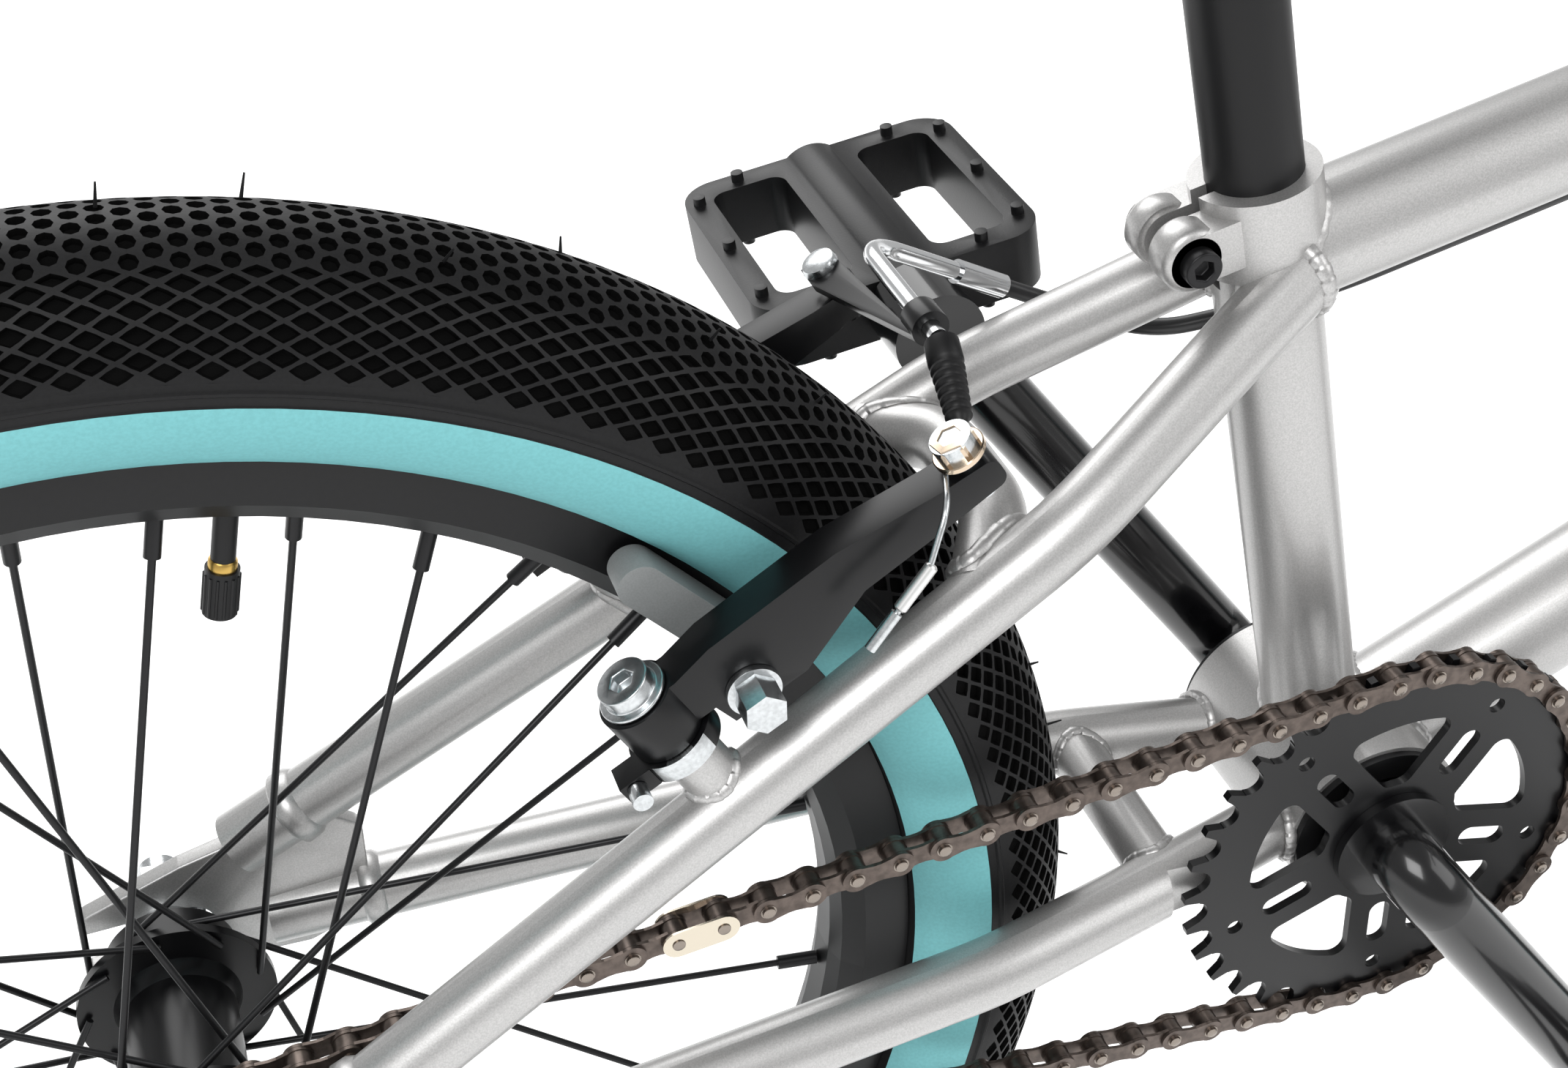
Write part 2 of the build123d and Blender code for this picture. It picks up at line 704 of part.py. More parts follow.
# ----------------------------------------------------------------------------------------------
# Fork, stem and handlebar
# ----------------------------------------------------------------------------------------------
crown_race_radius = 19.0
steerer_top = stem_base + steer_axis * (stem_height - 2)
steerer_foot = crown_point - steer_axis * 30.0
fork_wall = 2.2
with BuildPart() as fork_steerer:
    add(rod(steerer_foot, steerer_top, steerer_radius))
    add(rod(crown_point - steer_axis * 4, crown_point + steer_axis * 1.6, crown_race_radius))
    steerer_bore = rod(crown_point + steer_axis * 20, steerer_top + steer_axis, steerer_radius - fork_wall)
    add(steerer_bore, mode=Mode.SUBTRACT)
save(fork_steerer.part, "fork_steerer")

fork_line = (front_axle_point - crown_point).normalized()
fork_drop = (front_axle_point - crown_point).length
front_dropout_thickness = 5.0
front_dropout_inner = front_hub_spacing / 2


def fork(y, down):
    """Point of the fork's plane: y to the left and down from the crown towards the axle."""
    return crown_point + LEFT * y + fork_line * down


left_leg_route = [fork(6, 17), fork(fork_leg_offset, 19.5), fork(fork_leg_offset, fork_drop - 24)]
left_fork_leg = swept(left_leg_route, [34.0], fork_leg_radius)
left_fork_leg_core = swept(left_leg_route, [34.0], fork_leg_radius - fork_leg_wall)
steerer_blank = rod(steerer_foot - steer_axis, steerer_top, steerer_radius)
with BuildPart() as left_front_dropout:
    with BuildSketch(Plane(origin=fork(front_dropout_inner, fork_drop), x_dir=fork_line, z_dir=LEFT)):
        with BuildLine():
            Polyline((-52, -9), (-12, -15), (14, -15), (14, 15), (-12, 15), (-52, 9), close=True)
        make_face()
        fillet(vertices(), 4.0)
        with Locations((12, 0)):
            SlotOverall(2 * front_axle_radius + 24, 2 * front_axle_radius + 0.3, mode=Mode.SUBTRACT)
    extrude(amount=front_dropout_thickness)
with BuildPart() as fork_legs:
    add(left_fork_leg - left_fork_leg_core)
    add(left_front_dropout.part, mode=Mode.SUBTRACT)
    add(left_front_dropout.part)
    mirror(about=Plane.XZ)
    add(steerer_blank, mode=Mode.SUBTRACT)
save(fork_legs.part, "fork_legs")

left_front_nut = axle_nut(
    front_axle_point + LEFT * (front_dropout_inner + front_dropout_thickness), 1,
    front_axle_radius + slip_clearance, 15.0, front_nut_thickness)
with BuildPart() as front_axle:
    front_tip = front_dropout_inner + front_dropout_thickness + 14.0
    add(rod(front_axle_point - LEFT * front_tip, front_axle_point + LEFT * front_tip, front_axle_radius))
    for side in (-1, 1):
        inner = front_axle_point + LEFT * side * (front_dropout_inner - 9.0)
        outer = front_axle_point + LEFT * side * front_dropout_inner
        add(rod(inner, outer, front_axle_radius + 3.5))
    add(left_front_nut)
    add([mirror(piece, about=Plane.XZ, mode=Mode.PRIVATE) for piece in left_front_nut])
save(front_axle.part, "front_axle")

with BuildPart() as headset_cap:
    add(ring_bar(head_top + steer_axis * 0.6, head_top + steer_axis * 9, 22.0, steerer_radius + slip_clearance))
    add(ring_bar(head_top + steer_axis * 9, stem_base, 18.0, steerer_radius + slip_clearance))
    cap_foot = stem_base + steer_axis * stem_height
    add(rod(cap_foot, cap_foot + steer_axis * 4, 17.0))
    add(rod(cap_foot + steer_axis * 4, cap_foot + steer_axis * 8, 5.0))
save(headset_cap.part, "headset_cap")

stem_half_width = 26.0
stem_split = 1.0
stem_face_depth = 15.0
stem_bolt_radius = 3.0
stem_bolt_spread = 15.5
stem_bolt_side = 18.5
clamp_bore = handlebar_radius + slip_clearance
stem_frame = Plane(origin=stem_base, x_dir=steer_square, z_dir=steer_axis)
stem_bolts_at = [
    (side * stem_bolt_side, up * stem_bolt_spread) for side in (-1, 1) for up in (-1, 1)]
bar_clamp_cut = rod(bar_point - LEFT * 60, bar_point + LEFT * 60, clamp_bore)
steerer_cut = rod(stem_base - steer_axis * 5, cap_foot + steer_axis * 5, steerer_radius + slip_clearance)
face_plane = Plane(origin=bar_point, x_dir=LEFT, z_dir=steer_square)
bolt_holes = [
    rod(bar_point - steer_square * 24 + LEFT * y + steer_axis * up,
        bar_point + steer_square * 24 + LEFT * y + steer_axis * up, stem_bolt_radius + 0.15)
    for y, up in stem_bolts_at
]
with BuildPart() as stem:
    with BuildSketch(stem_frame):
        with BuildLine():
            Polyline(
                (-21, -17), (-21, 17), (16, 21), (stem_reach - 14, stem_half_width),
                (stem_reach - stem_split, stem_half_width), (stem_reach - stem_split, -stem_half_width),
                (stem_reach - 14, -stem_half_width), (16, -21), close=True,
            )
        make_face()
        fillet(vertices().group_by(Axis.X)[0], 6.0)
    extrude(amount=stem_height)
    add([steerer_cut, bar_clamp_cut, *bolt_holes], mode=Mode.SUBTRACT)
save(stem.part, "stem")

with BuildPart() as stem_faceplate:
    with BuildSketch(face_plane.offset(stem_split)):
        RectangleRounded(2 * stem_half_width, stem_height, 4.0)
    extrude(amount=stem_face_depth)
    chamfer(edges().group_by(Axis(bar_point, steer_square))[-1], 2.0)
    add([bar_clamp_cut, *bolt_holes], mode=Mode.SUBTRACT)
save(stem_faceplate.part, "stem_faceplate")

with BuildPart() as stem_bolts:
    for y, up in stem_bolts_at:
        seat = bar_point + steer_square * (stem_split + stem_face_depth) + LEFT * y + steer_axis * up
        add(rod(seat - steer_square * 28, seat, stem_bolt_radius))
        add(rod(seat, seat + steer_square * 4, 4.7))
save(stem_bolts.part, "stem_bolts")

handlebar_solid = swept(bar_route, bar_bends, handlebar_radius)
handlebar_core = swept(bar_route, bar_bends, handlebar_radius - handlebar_wall)
crossbar_rise = 142.0
crossbar_radius = 8.0
crossbar_half = bar_foot_half + (bar_knee_half - bar_foot_half) * crossbar_rise / (handlebar_rise - bar_upsweep)
crossbar = rod(bar(-crossbar_half, crossbar_rise), bar(crossbar_half, crossbar_rise), crossbar_radius)
with BuildPart() as handlebar:
    add(handlebar_solid - handlebar_core)
    add(crossbar - handlebar_solid)
save(handlebar.part, "handlebar")

left_grip = ring_bar(
    grip_end - grip_axis * grip_length, grip_end, grip_radius, handlebar_radius + slip_clearance)
left_flange = ring_bar(
    grip_end - grip_axis * grip_length, grip_end - grip_axis * (grip_length - 4), 24.0,
    handlebar_radius + slip_clearance)
left_plug = rod(grip_end + grip_axis * 0.1, grip_end + grip_axis * 6, grip_radius - 1)
with BuildPart() as grips:
    add(left_grip + left_flange)
    add(left_plug)
    mirror(about=Plane.XZ)
save(grips.part, "grips")

# ----------------------------------------------------------------------------------------------
# Brake lever and its bracket
# ----------------------------------------------------------------------------------------------
lever_pivot = lever(4.0, lever_reach, 0)
lever_pin_radius = 2.5
lever_thickness = 8.0
bracket_half = 10.0
lever_gap = 0.4
bracket_ring = ring_bar(lever(-bracket_half, 0), lever(bracket_half, 0), 15.0, clamp_bore)
bracket_plane = Plane(origin=lever(0, 0), x_dir=right_grip_axis, z_dir=lever_normal)
bar_cut = rod(lever(-40, 0), lever(40, 0), clamp_bore)
adjuster = ring_bar(lever(-34, lever_reach), lever(-12, lever_reach), 4.5, 1.2)
with BuildPart() as lever_bracket:
    with BuildSketch(bracket_plane.offset(-lever_thickness / 2 - 3.5)):
        with BuildLine():
            Polyline((-13, 8), (10, 8), (11, 34), (-13, 34), close=True)
        make_face()
        fillet(vertices().group_by(Axis.Y)[-1], 5.0)
    extrude(amount=lever_thickness + 7.0)
    add(bracket_ring)
    with BuildSketch(bracket_plane.offset(-lever_thickness / 2 - lever_gap)):
        with Locations((10, 32)):
            Rectangle(34, 34)
    extrude(amount=lever_thickness + 2 * lever_gap, mode=Mode.SUBTRACT)
    add(bar_cut, mode=Mode.SUBTRACT)
    add(adjuster)
    add(rod(lever_pivot - lever_normal * 8.5, lever_pivot + lever_normal * 8.5, lever_pin_radius))
save(lever_bracket.part, "lever_bracket")

with BuildPart() as brake_lever:
    with BuildSketch(bracket_plane.offset(-lever_thickness / 2)):
        with BuildLine():
            Line((-3, 20), (-3, 31))
            Spline((-3, 31), (12, 35), (40, 47), (75, 50), (100, 56))
            Line((100, 56), (104, 49))
            Spline((104, 49), (78, 43), (44, 39), (22, 29), (10, 20))
            Line((10, 20), (-3, 20))
        make_face()
    extrude(amount=lever_thickness)
    add(rod(lever_pivot - lever_normal * 20, lever_pivot + lever_normal * 20,
            lever_pin_radius + running_clearance), mode=Mode.SUBTRACT)
save(brake_lever.part, "brake_lever")

# ----------------------------------------------------------------------------------------------
# Wheels
# ----------------------------------------------------------------------------------------------
tube_lift = 2.3
flange_thickness = 3.0
spoke_lean = 2.6
rim_chamber = (
    (-10.5, 196.5), (-8.6, 192.6), (-4.5, 190.4), (4.5, 190.4), (8.6, 192.6), (10.5, 196.5),
)


def axle_line(point):
    """Axis of a wheel that turns about a point."""
    return Axis(point, (0, 1, 0))


def make_rim(point):
    """Double-wall rim: an open channel for the tyre over a closed chamber."""
    edge, half = rim_edge_radius, rim_width / 2
    track = edge - 13.5
    channel = edge - 9.5
    with BuildPart() as rim:
        with BuildSketch(wheel_section(point)):
            with BuildLine():
                Polyline(
                    (edge, -half), (track, -half), (rim_inner_radius + 2, -half + 4.5), (rim_inner_radius, -5),
                    (rim_inner_radius, 5), (rim_inner_radius + 2, half - 4.5), (track, half), (edge, half),
                    (edge, half - rim_wall), (channel, half - rim_wall),
                    (channel - 2.5, 7), (channel - 2.5, -7),
                    (channel, rim_wall - half), (edge, rim_wall - half), close=True,
                )
            make_face()
            with BuildLine():
                Polyline(*[(radius, offset) for offset, radius in rim_chamber], close=True)
            make_face(mode=Mode.SUBTRACT)
        revolve(axis=axle_line(point))
    return rim.part


def make_tyre(point):
    """Round casing with beads that hook inside the rim's channel."""
    bead_half = rim_width / 2 - rim_wall - 0.3
    centre, outer, inner = tyre_centre_radius, tyre_section_radius, tyre_section_radius - tyre_wall
    foot = rim_edge_radius + 0.5
    shoulder = (outer**2 - (centre - foot) ** 2) ** 0.5
    ledge = foot + tyre_wall
    neck = (inner**2 - (centre - ledge) ** 2) ** 0.5
    bead = rim_edge_radius - 8.0
    lip = bead_half - 4.0
    with BuildPart() as tyre:
        with BuildSketch(wheel_section(point)):
            with BuildLine():
                ThreePointArc((foot, shoulder), (centre + outer, 0), (foot, -shoulder))
                Polyline((foot, -shoulder), (foot, -bead_half), (bead, -bead_half), (bead, -lip),
                         (ledge, -lip), (ledge, -neck))
                ThreePointArc((ledge, -neck), (centre + inner, 0), (ledge, neck))
                Polyline((ledge, neck), (ledge, lip), (bead, lip), (bead, bead_half), (foot, bead_half),
                         (foot, shoulder))
            make_face()
        revolve(axis=axle_line(point))
    return tyre.part


def valve_direction(angle):
    """Unit vector from the axle towards the valve."""
    return Vector(cos(radians(angle)), 0, sin(radians(angle)))


def make_inner_tube(point, angle):
    """Air tube as a hollow ring, with its valve standing in through the rim."""
    section = tyre_section_radius - tyre_wall - 4.2
    inward = valve_direction(angle)
    top = point + inward * (tyre_centre_radius + tube_lift - section + 0.6)
    stem = rod(point + inward * (rim_inner_radius - 20), top, 3.0)
    cap = rod(point + inward * (rim_inner_radius - 32), point + inward * (rim_inner_radius - 19), 4.2)
    with BuildPart() as tube:
        with BuildSketch(wheel_section(point)):
            with Locations((tyre_centre_radius + tube_lift, 0)):
                Circle(section)
                Circle(section - 1.2, mode=Mode.SUBTRACT)
        revolve(axis=axle_line(point))
        add([stem, cap])
    return tube.part


def valve_hole(point, angle):
    """Bore through the rim that the valve stands in."""
    inward = valve_direction(angle)
    return rod(point + inward * (rim_inner_radius - 5), point + inward * (rim_edge_radius + 5), 3.3)


def make_spokes(point, flange_radius, flange_offset, phase):
    """Crossed spokes with their nipples, half of them to each flange."""
    spokes = []
    for index in range(spoke_count):
        side = 1 if index % 2 else -1
        leading = -1 if (index // 2) % 2 else 1
        rim_angle = radians(phase + index * 360 / spoke_count)
        hub_angle = rim_angle + leading * radians(spoke_crossing_angle)
        hole = flange_radius - 3.5
        lean = spoke_lean if leading > 0 else 0.05
        face = flange_offset + leading * (flange_thickness / 2 + spoke_radius + lean)
        start = point + Vector(cos(hub_angle) * hole, side * face, sin(hub_angle) * hole)
        end = point + Vector(cos(rim_angle), 0, sin(rim_angle)) * (rim_inner_radius - 0.5) + LEFT * side * 2.0
        shoulder = end - (end - start).normalized() * nipple_length
        spokes.append(rod(start, shoulder, spoke_radius))
        spokes.append(rod(shoulder, end, nipple_radius))
    return spokes


def make_hub(point, flange_radius, flange_offset, body_radius, spacing, axle_radius, neck):
    """Hub shell turned round its axle, with a bearing ring near each end."""
    half = spacing / 2 - 10.0
    seat = body_radius - 2.5
    low, high = flange_offset - flange_thickness / 2, flange_offset + flange_thickness / 2
    outline = [
        (seat, -half), (neck, -half), (neck, -high), (flange_radius, -high), (flange_radius, -low),
        (body_radius + 2, -low), (body_radius, 5 - low), (body_radius, low - 5), (body_radius + 2, low),
        (flange_radius, low), (flange_radius, high),
        (neck, high), (neck, half), (seat, half),
    ]
    with BuildPart() as shell:
        with BuildSketch(wheel_section(point)):
            with BuildLine():
                Polyline(*outline, close=True)
            make_face()
        revolve(axis=axle_line(point))
    bearings = [
        ring_bar(point + LEFT * side * (half - 8), point + LEFT * side * (half - 0.5),
                 seat - slip_clearance, axle_radius + running_clearance)
        for side in (-1, 1)
    ]
    return shell.part, bearings


front_wheel_phase = 5.0
valve_rest_angle = 82.0
front_valve_angle = 250.0
rear_spokes_list = make_spokes(rear_axle_point, rear_flange_radius, rear_flange_offset, spoke_rest_phase)
front_spokes_list = make_spokes(front_axle_point, front_flange_radius, front_flange_offset, front_wheel_phase)
rear_tube = make_inner_tube(rear_axle_point, valve_rest_angle)
front_tube = make_inner_tube(front_axle_point, front_valve_angle)
rear_rim_solid = make_rim(rear_axle_point) - valve_hole(rear_axle_point, valve_rest_angle)
front_rim_solid = make_rim(front_axle_point) - valve_hole(front_axle_point, front_valve_angle)
rear_tyre_solid = make_tyre(rear_axle_point)
front_tyre_solid = make_tyre(front_axle_point)
rear_shell, rear_bearings = make_hub(
    rear_axle_point, rear_flange_radius, rear_flange_offset, 16.0, rear_hub_spacing, rear_axle_radius, 19.0)
front_shell, front_bearings = make_hub(
    front_axle_point, front_flange_radius, front_flange_offset, 14.0,
    front_hub_spacing, front_axle_radius, 14.5)

with BuildPart() as rear_rim:
    add(rear_rim_solid)
save(rear_rim.part, "rear_rim")
with BuildPart() as front_rim:
    add(front_rim_solid)
save(front_rim.part, "front_rim")
with BuildPart() as rear_tyre:
    add(rear_tyre_solid)
save(rear_tyre.part, "rear_tyre")
with BuildPart() as front_tyre:
    add(front_tyre_solid)
save(front_tyre.part, "front_tyre")
with BuildPart() as rear_inner_tube:
    add(rear_tube)
save(rear_inner_tube.part, "rear_inner_tube")
with BuildPart() as front_inner_tube:
    add(front_tube)
save(front_inner_tube.part, "front_inner_tube")
with BuildPart() as rear_hub:
    add(rear_shell)
    add(rear_bearings)
save(rear_hub.part, "rear_hub")
with BuildPart() as front_hub:
    add(front_shell)
    add(front_bearings)
save(front_hub.part, "front_hub")
with BuildPart() as rear_spokes:
    add(rear_spokes_list)
save(rear_spokes.part, "rear_spokes")
with BuildPart() as front_spokes:
    add(front_spokes_list)
save(front_spokes.part, "front_spokes")

# ----------------------------------------------------------------------------------------------
# Drive: freewheel cog, chainring, chain, crank and pedals
# ----------------------------------------------------------------------------------------------
chain_wrap = asin((ring_radius - cog_radius) / chain_stay_length)
drive_side = -LEFT


def drive_plane(point, offset):
    """Sketch plane across a drive axle, x along the chain stays, at a distance to the drive side."""
    return Plane(origin=point + drive_side * offset, x_dir=rear_along, z_dir=drive_side)


pocket_radius = roller_radius + 0.12
tip_height = 3.6


def toothed_disc(teeth, pitch_radius, first_angle):
    """Flat toothed outline: a disc with a roller pocket and two slanting flanks at each gap."""
    flare = pitch_radius + tip_height + 1.0
    gap = 0.47 * chain_pitch
    outline = Circle(pitch_radius + tip_height)
    pocket = Circle(pocket_radius) + Polygon(
        (-1.5, pocket_radius), (-1.5, -pocket_radius), (flare - pitch_radius, -gap),
        (flare - pitch_radius, gap), align=None)
    for tooth in range(teeth):
        turn = first_angle + tooth * 360 / teeth
        outline -= Rot(0, 0, turn) * Pos(pitch_radius, 0) * pocket
    return outline


# the chain's line: straight above, round the ring, straight below, round the cog
straight_run = chain_stay_length * cos(chain_wrap)
ring_arc = (pi + 2 * chain_wrap) * ring_pitch_length
cog_arc = (pi - 2 * chain_wrap) * cog_pitch_length
pin_before_ring = 13.84


def chain_place(distance):
    """Place on the chain's pitch line, measured from the cog end of the top run."""
    distance %= 2 * straight_run + ring_arc + cog_arc
    lean = chain_wrap
    if distance < straight_run:
        x = -cog_radius * sin(lean) + distance * cos(lean)
        z = cog_radius * cos(lean) + distance * sin(lean)
        return x, z
    distance -= straight_run
    if distance < ring_arc:
        turn = pi / 2 + lean - distance / ring_pitch_length
        x = chain_stay_length + ring_radius * cos(turn)
        return x, ring_radius * sin(turn)
    distance -= ring_arc
    if distance < straight_run:
        x = chain_stay_length - ring_radius * sin(lean) - distance * cos(lean)
        z = -ring_radius * cos(lean) + distance * sin(lean)
        return x, z
    distance -= straight_run
    turn = -pi / 2 - lean - distance / cog_pitch_length
    return cog_radius * cos(turn), cog_radius * sin(turn)


pins = [chain_place(straight_run - pin_before_ring + index * chain_pitch) for index in range(chain_links)]
ring_first = min(pins, key=lambda pin: abs(hypot(pin[0] - chain_stay_length, pin[1]) - ring_radius)
                 + (0 if pin[0] > chain_stay_length + ring_radius * 0.5 else 1e3))
ring_phase = degrees(atan2(ring_first[1], ring_first[0] - chain_stay_length))
cog_first = min(pins, key=lambda pin: abs(hypot(pin[0], pin[1]) - cog_radius)
                + (0 if pin[0] < -cog_radius * 0.5 else 1e3))
cog_phase = degrees(atan2(cog_first[1], cog_first[0]))

plate_half = 4.1
plate_waist = 3.0


def link_plate(offset, thickness):
    """Waisted side plate between two pins, lying at an offset from the chain's centre plane."""
    half = chain_pitch / 2
    waist = half - plate_half * 0.72
    outline = Pos(-half, 0) * Circle(plate_half) + Pos(half, 0) * Circle(plate_half)
    outline += Polygon(
        (half, plate_half * 0.96), (waist * 0.3, plate_waist), (-waist * 0.3, plate_waist),
        (-half, plate_half * 0.96), (-half, -plate_half * 0.96), (-waist * 0.3, -plate_waist),
        (waist * 0.3, -plate_waist), (half, -plate_half * 0.96), align=None)
    return extrude(Plane.XY.offset(offset) * outline, amount=thickness)


def pin_at(x, radius, length):
    """Round bar across the chain."""
    return Pos(x, 0, 0) * Cylinder(radius, length)


half_pitch = chain_pitch / 2
inner_low = inner_plate_gap / 2
outer_low = inner_low + plate_thickness + 0.1
outer_link = link_plate(outer_low, plate_thickness) + link_plate(-outer_low - plate_thickness, plate_thickness)
outer_link += pin_at(-half_pitch, pin_radius, pin_length) + pin_at(half_pitch, pin_radius, pin_length)
inner_link = link_plate(inner_low, plate_thickness) + link_plate(-inner_low - plate_thickness, plate_thickness)
for seat in (-half_pitch, half_pitch):
    inner_link += pin_at(seat, roller_radius, inner_plate_gap)
for side in (-1, 1):
    inner_link -= pin_at(side * half_pitch, pin_radius + running_clearance, 20)
chain_plane = drive_plane(rear_axle_point, chain_line)
links = []
for index in range(chain_links):
    ax, az = pins[index]
    bx, bz = pins[(index + 1) % chain_links]
    heading = degrees(atan2(bz - az, bx - ax))
    link = inner_link if index % 2 else outer_link
    links.append(chain_plane * Pos((ax + bx) / 2, (az + bz) / 2, 0) * Rot(0, 0, heading) * link)
with BuildPart() as chain:
    add(links)
save(chain.part, "chain")

ring_centre_radius = 23.0
ring_window_radius = 47.0
ring_bore_radius = 13.0
ring_arm_angles = [127.8 + index * 72 for index in range(5)]
ring_arm_width = 21.0
ring_bolt_circle = 53.5
ring_bolt_radius = 2.6
ring_slot_middle = 35.3
ring_slot_length = 17.0
ring_slot_width = 7.0
ring_face = chain_line - tooth_thickness / 2
ring_outline = toothed_disc(ring_teeth, ring_radius, ring_phase)
ring_windows = Circle(ring_window_radius) - Circle(ring_centre_radius)
for angle in ring_arm_angles:
    arm = Rot(0, 0, angle) * Pos(ring_slot_middle, 0)
    ring_windows -= arm * Rectangle(60, ring_arm_width)
    ring_outline -= arm * SlotOverall(ring_slot_length, ring_slot_width)
    ring_outline -= Rot(0, 0, angle) * Pos(ring_bolt_circle, 0) * Circle(ring_bolt_radius)
ring_windows = fillet(ring_windows.vertices(), 4.0)
ring_outline -= ring_windows
with BuildPart() as chainring:
    with BuildSketch(drive_plane(shell_point, ring_face)):
        add(ring_outline)
        Circle(ring_bore_radius, mode=Mode.SUBTRACT)
    extrude(amount=tooth_thickness)
save(chainring.part, "chainring")

cog_outline = toothed_disc(cog_teeth, cog_radius, cog_phase)
freewheel_bore = 20.0
freewheel_body_radius = 26.0
freewheel_depth = 10.0
with BuildPart() as freewheel_cog:
    with BuildSketch(drive_plane(rear_axle_point, chain_line - tooth_thickness / 2)):
        add(cog_outline)
    extrude(amount=tooth_thickness)
    with BuildSketch(drive_plane(rear_axle_point, chain_line - tooth_thickness / 2 - freewheel_depth + 4)):
        Circle(freewheel_body_radius)
    extrude(amount=freewheel_depth - 3)
    with BuildSketch(drive_plane(rear_axle_point, 0)):
        Circle(freewheel_bore)
    extrude(amount=80, mode=Mode.SUBTRACT)
save(freewheel_cog.part, "freewheel_cog")


def crank_direction(angle):
    """Unit vector of a crank arm at an angle from straight ahead, seen from the drive side."""
    return Vector(cos(radians(angle)), 0, sin(radians(angle)))


right_arm = crank_direction(crank_rest_angle)
left_arm = -right_arm
arm_outer = crank_arm_offset + crank_arm_splay
right_crank_end = shell_point + right_arm * crank_length - LEFT * arm_outer
left_crank_end = shell_point + left_arm * crank_length + LEFT * arm_outer
crank_route = [
    right_crank_end,
    shell_point - LEFT * crank_arm_offset,
    shell_point + LEFT * crank_arm_offset,
    left_crank_end,
]
pedal_boss_radius = 14.0
pedal_boss_length = 22.0
crank_bar = swept(crank_route, [14.0, 14.0], crank_tube_radius)
crank_collar_radius = 19.0
crank_collar = rod(
    shell_point - LEFT * (chain_line + tooth_thickness / 2 + 0.1),
    shell_point - LEFT * (chain_line + tooth_thickness / 2 + 3.1), crank_collar_radius)
with BuildPart() as crank:
    add(crank_bar)
    add(crank_collar)
    for end, side in ((right_crank_end, -1), (left_crank_end, 1)):
        add(rod(end - LEFT * side * pedal_boss_length / 2, end + LEFT * side * pedal_boss_length / 2,
                pedal_boss_radius))
save(crank.part, "crank")

cone_outer = chain_line - tooth_thickness / 2 - 0.2
with BuildPart() as crank_cones:
    for side, reach in ((-1, cone_outer), (1, 44.0)):
        inner = shell_point + LEFT * side * (shell_width / 2 - 8)
        outer = shell_point + LEFT * side * reach
        add(ring_bar(inner, outer, 13.5, spindle_radius + slip_clearance))
    for side, reach in ((-1, cone_outer), (1, 44.0)):
        face = shell_point + LEFT * side * (shell_width / 2 + cup_flange + 0.5)
        outer = shell_point + LEFT * side * reach
        add(ring_bar(face, outer, 18.0, spindle_radius + slip_clearance))
save(crank_cones.part, "crank_cones")

spindle_start = arm_outer + pedal_boss_length / 2
pedal_gap = 1.5
pedal_inner = spindle_start + pedal_gap
spindle_end = pedal_inner + pedal_width - 6
with BuildPart() as pedal_spindles:
    for end, side in ((right_crank_end, -1), (left_crank_end, 1)):
        along = LEFT * side
        base = end - LEFT * end.Y
        add(rod(base + along * spindle_start, base + along * spindle_end, pedal_spindle_radius))
        add(rod(base + along * spindle_start, base + along * (pedal_inner - 0.6), 9.5))
save(pedal_spindles.part, "pedal_spindles")

pedal_rim = 9.0
pedal_core_radius = 12.5
pin_rows = (-36, 0, 36)


def make_pedal(end, side):
    """Moulded platform pedal: a frame, a barrel round the spindle, a cross web and grip pins."""
    base = end - LEFT * end.Y
    middle = base + LEFT * side * (pedal_inner + pedal_width / 2)
    turn = radians(pedal_rest_angle)
    across = Vector(cos(turn), 0, sin(turn))
    plane = Plane(origin=middle, x_dir=across, z_dir=Vector(-sin(turn), 0, cos(turn)))
    outline = fillet(Rectangle(pedal_length, pedal_width).vertices(), 12.0)
    window_half = (pedal_length / 2 - pedal_rim - pedal_core_radius) / 2 + pedal_core_radius
    window = fillet(Rectangle(
        pedal_length / 2 - pedal_rim - pedal_core_radius, pedal_width - 2 * pedal_rim).vertices(), 5.0)
    plate = outline - Pos(window_half, 0) * window - Pos(-window_half, 0) * window
    body = extrude(plane * plate, amount=pedal_thickness / 2, both=True)
    body += rod(base + LEFT * side * pedal_inner, base + LEFT * side * (pedal_inner + pedal_width),
                pedal_core_radius)
    for x in (-(pedal_length / 2 - 4.5), pedal_length / 2 - 4.5):
        for y in pin_rows:
            body += plane * Pos(x, y * 0.86, 0) * Cylinder(2.0, pedal_thickness + 6)
    for x in (-26, 26):
        for y in (-(pedal_width / 2 - 4.5), pedal_width / 2 - 4.5):
            body += plane * Pos(x, y, 0) * Cylinder(2.0, pedal_thickness + 6)
    return body - rod(base, base + LEFT * side * (spindle_end + 1), pedal_spindle_radius + running_clearance)


left_pedal_solid = make_pedal(left_crank_end, 1)
right_pedal_solid = make_pedal(right_crank_end, -1)
with BuildPart() as left_pedal:
    add(left_pedal_solid)
save(left_pedal.part, "left_pedal")
with BuildPart() as right_pedal:
    add(right_pedal_solid)
save(right_pedal.part, "right_pedal")

# ----------------------------------------------------------------------------------------------
# Rear brake: arms, pads, bolts, noodle and boot
# ----------------------------------------------------------------------------------------------
arm_half_thickness = 5.5
arm_barrel_radius = 10.0
arm_barrel_low = 30.5
arm_barrel_high = 45.5
pad_station = 199.0
pad_height = 30.0
pad_half_length = 28.0
pad_face = rim_width / 2 + brake_pad_gap
pad_thickness = 10.0
stud_radius = 3.0
anchor_station = brake_pivot_station + brake_arm_length
pivot = brake_pivot_offset

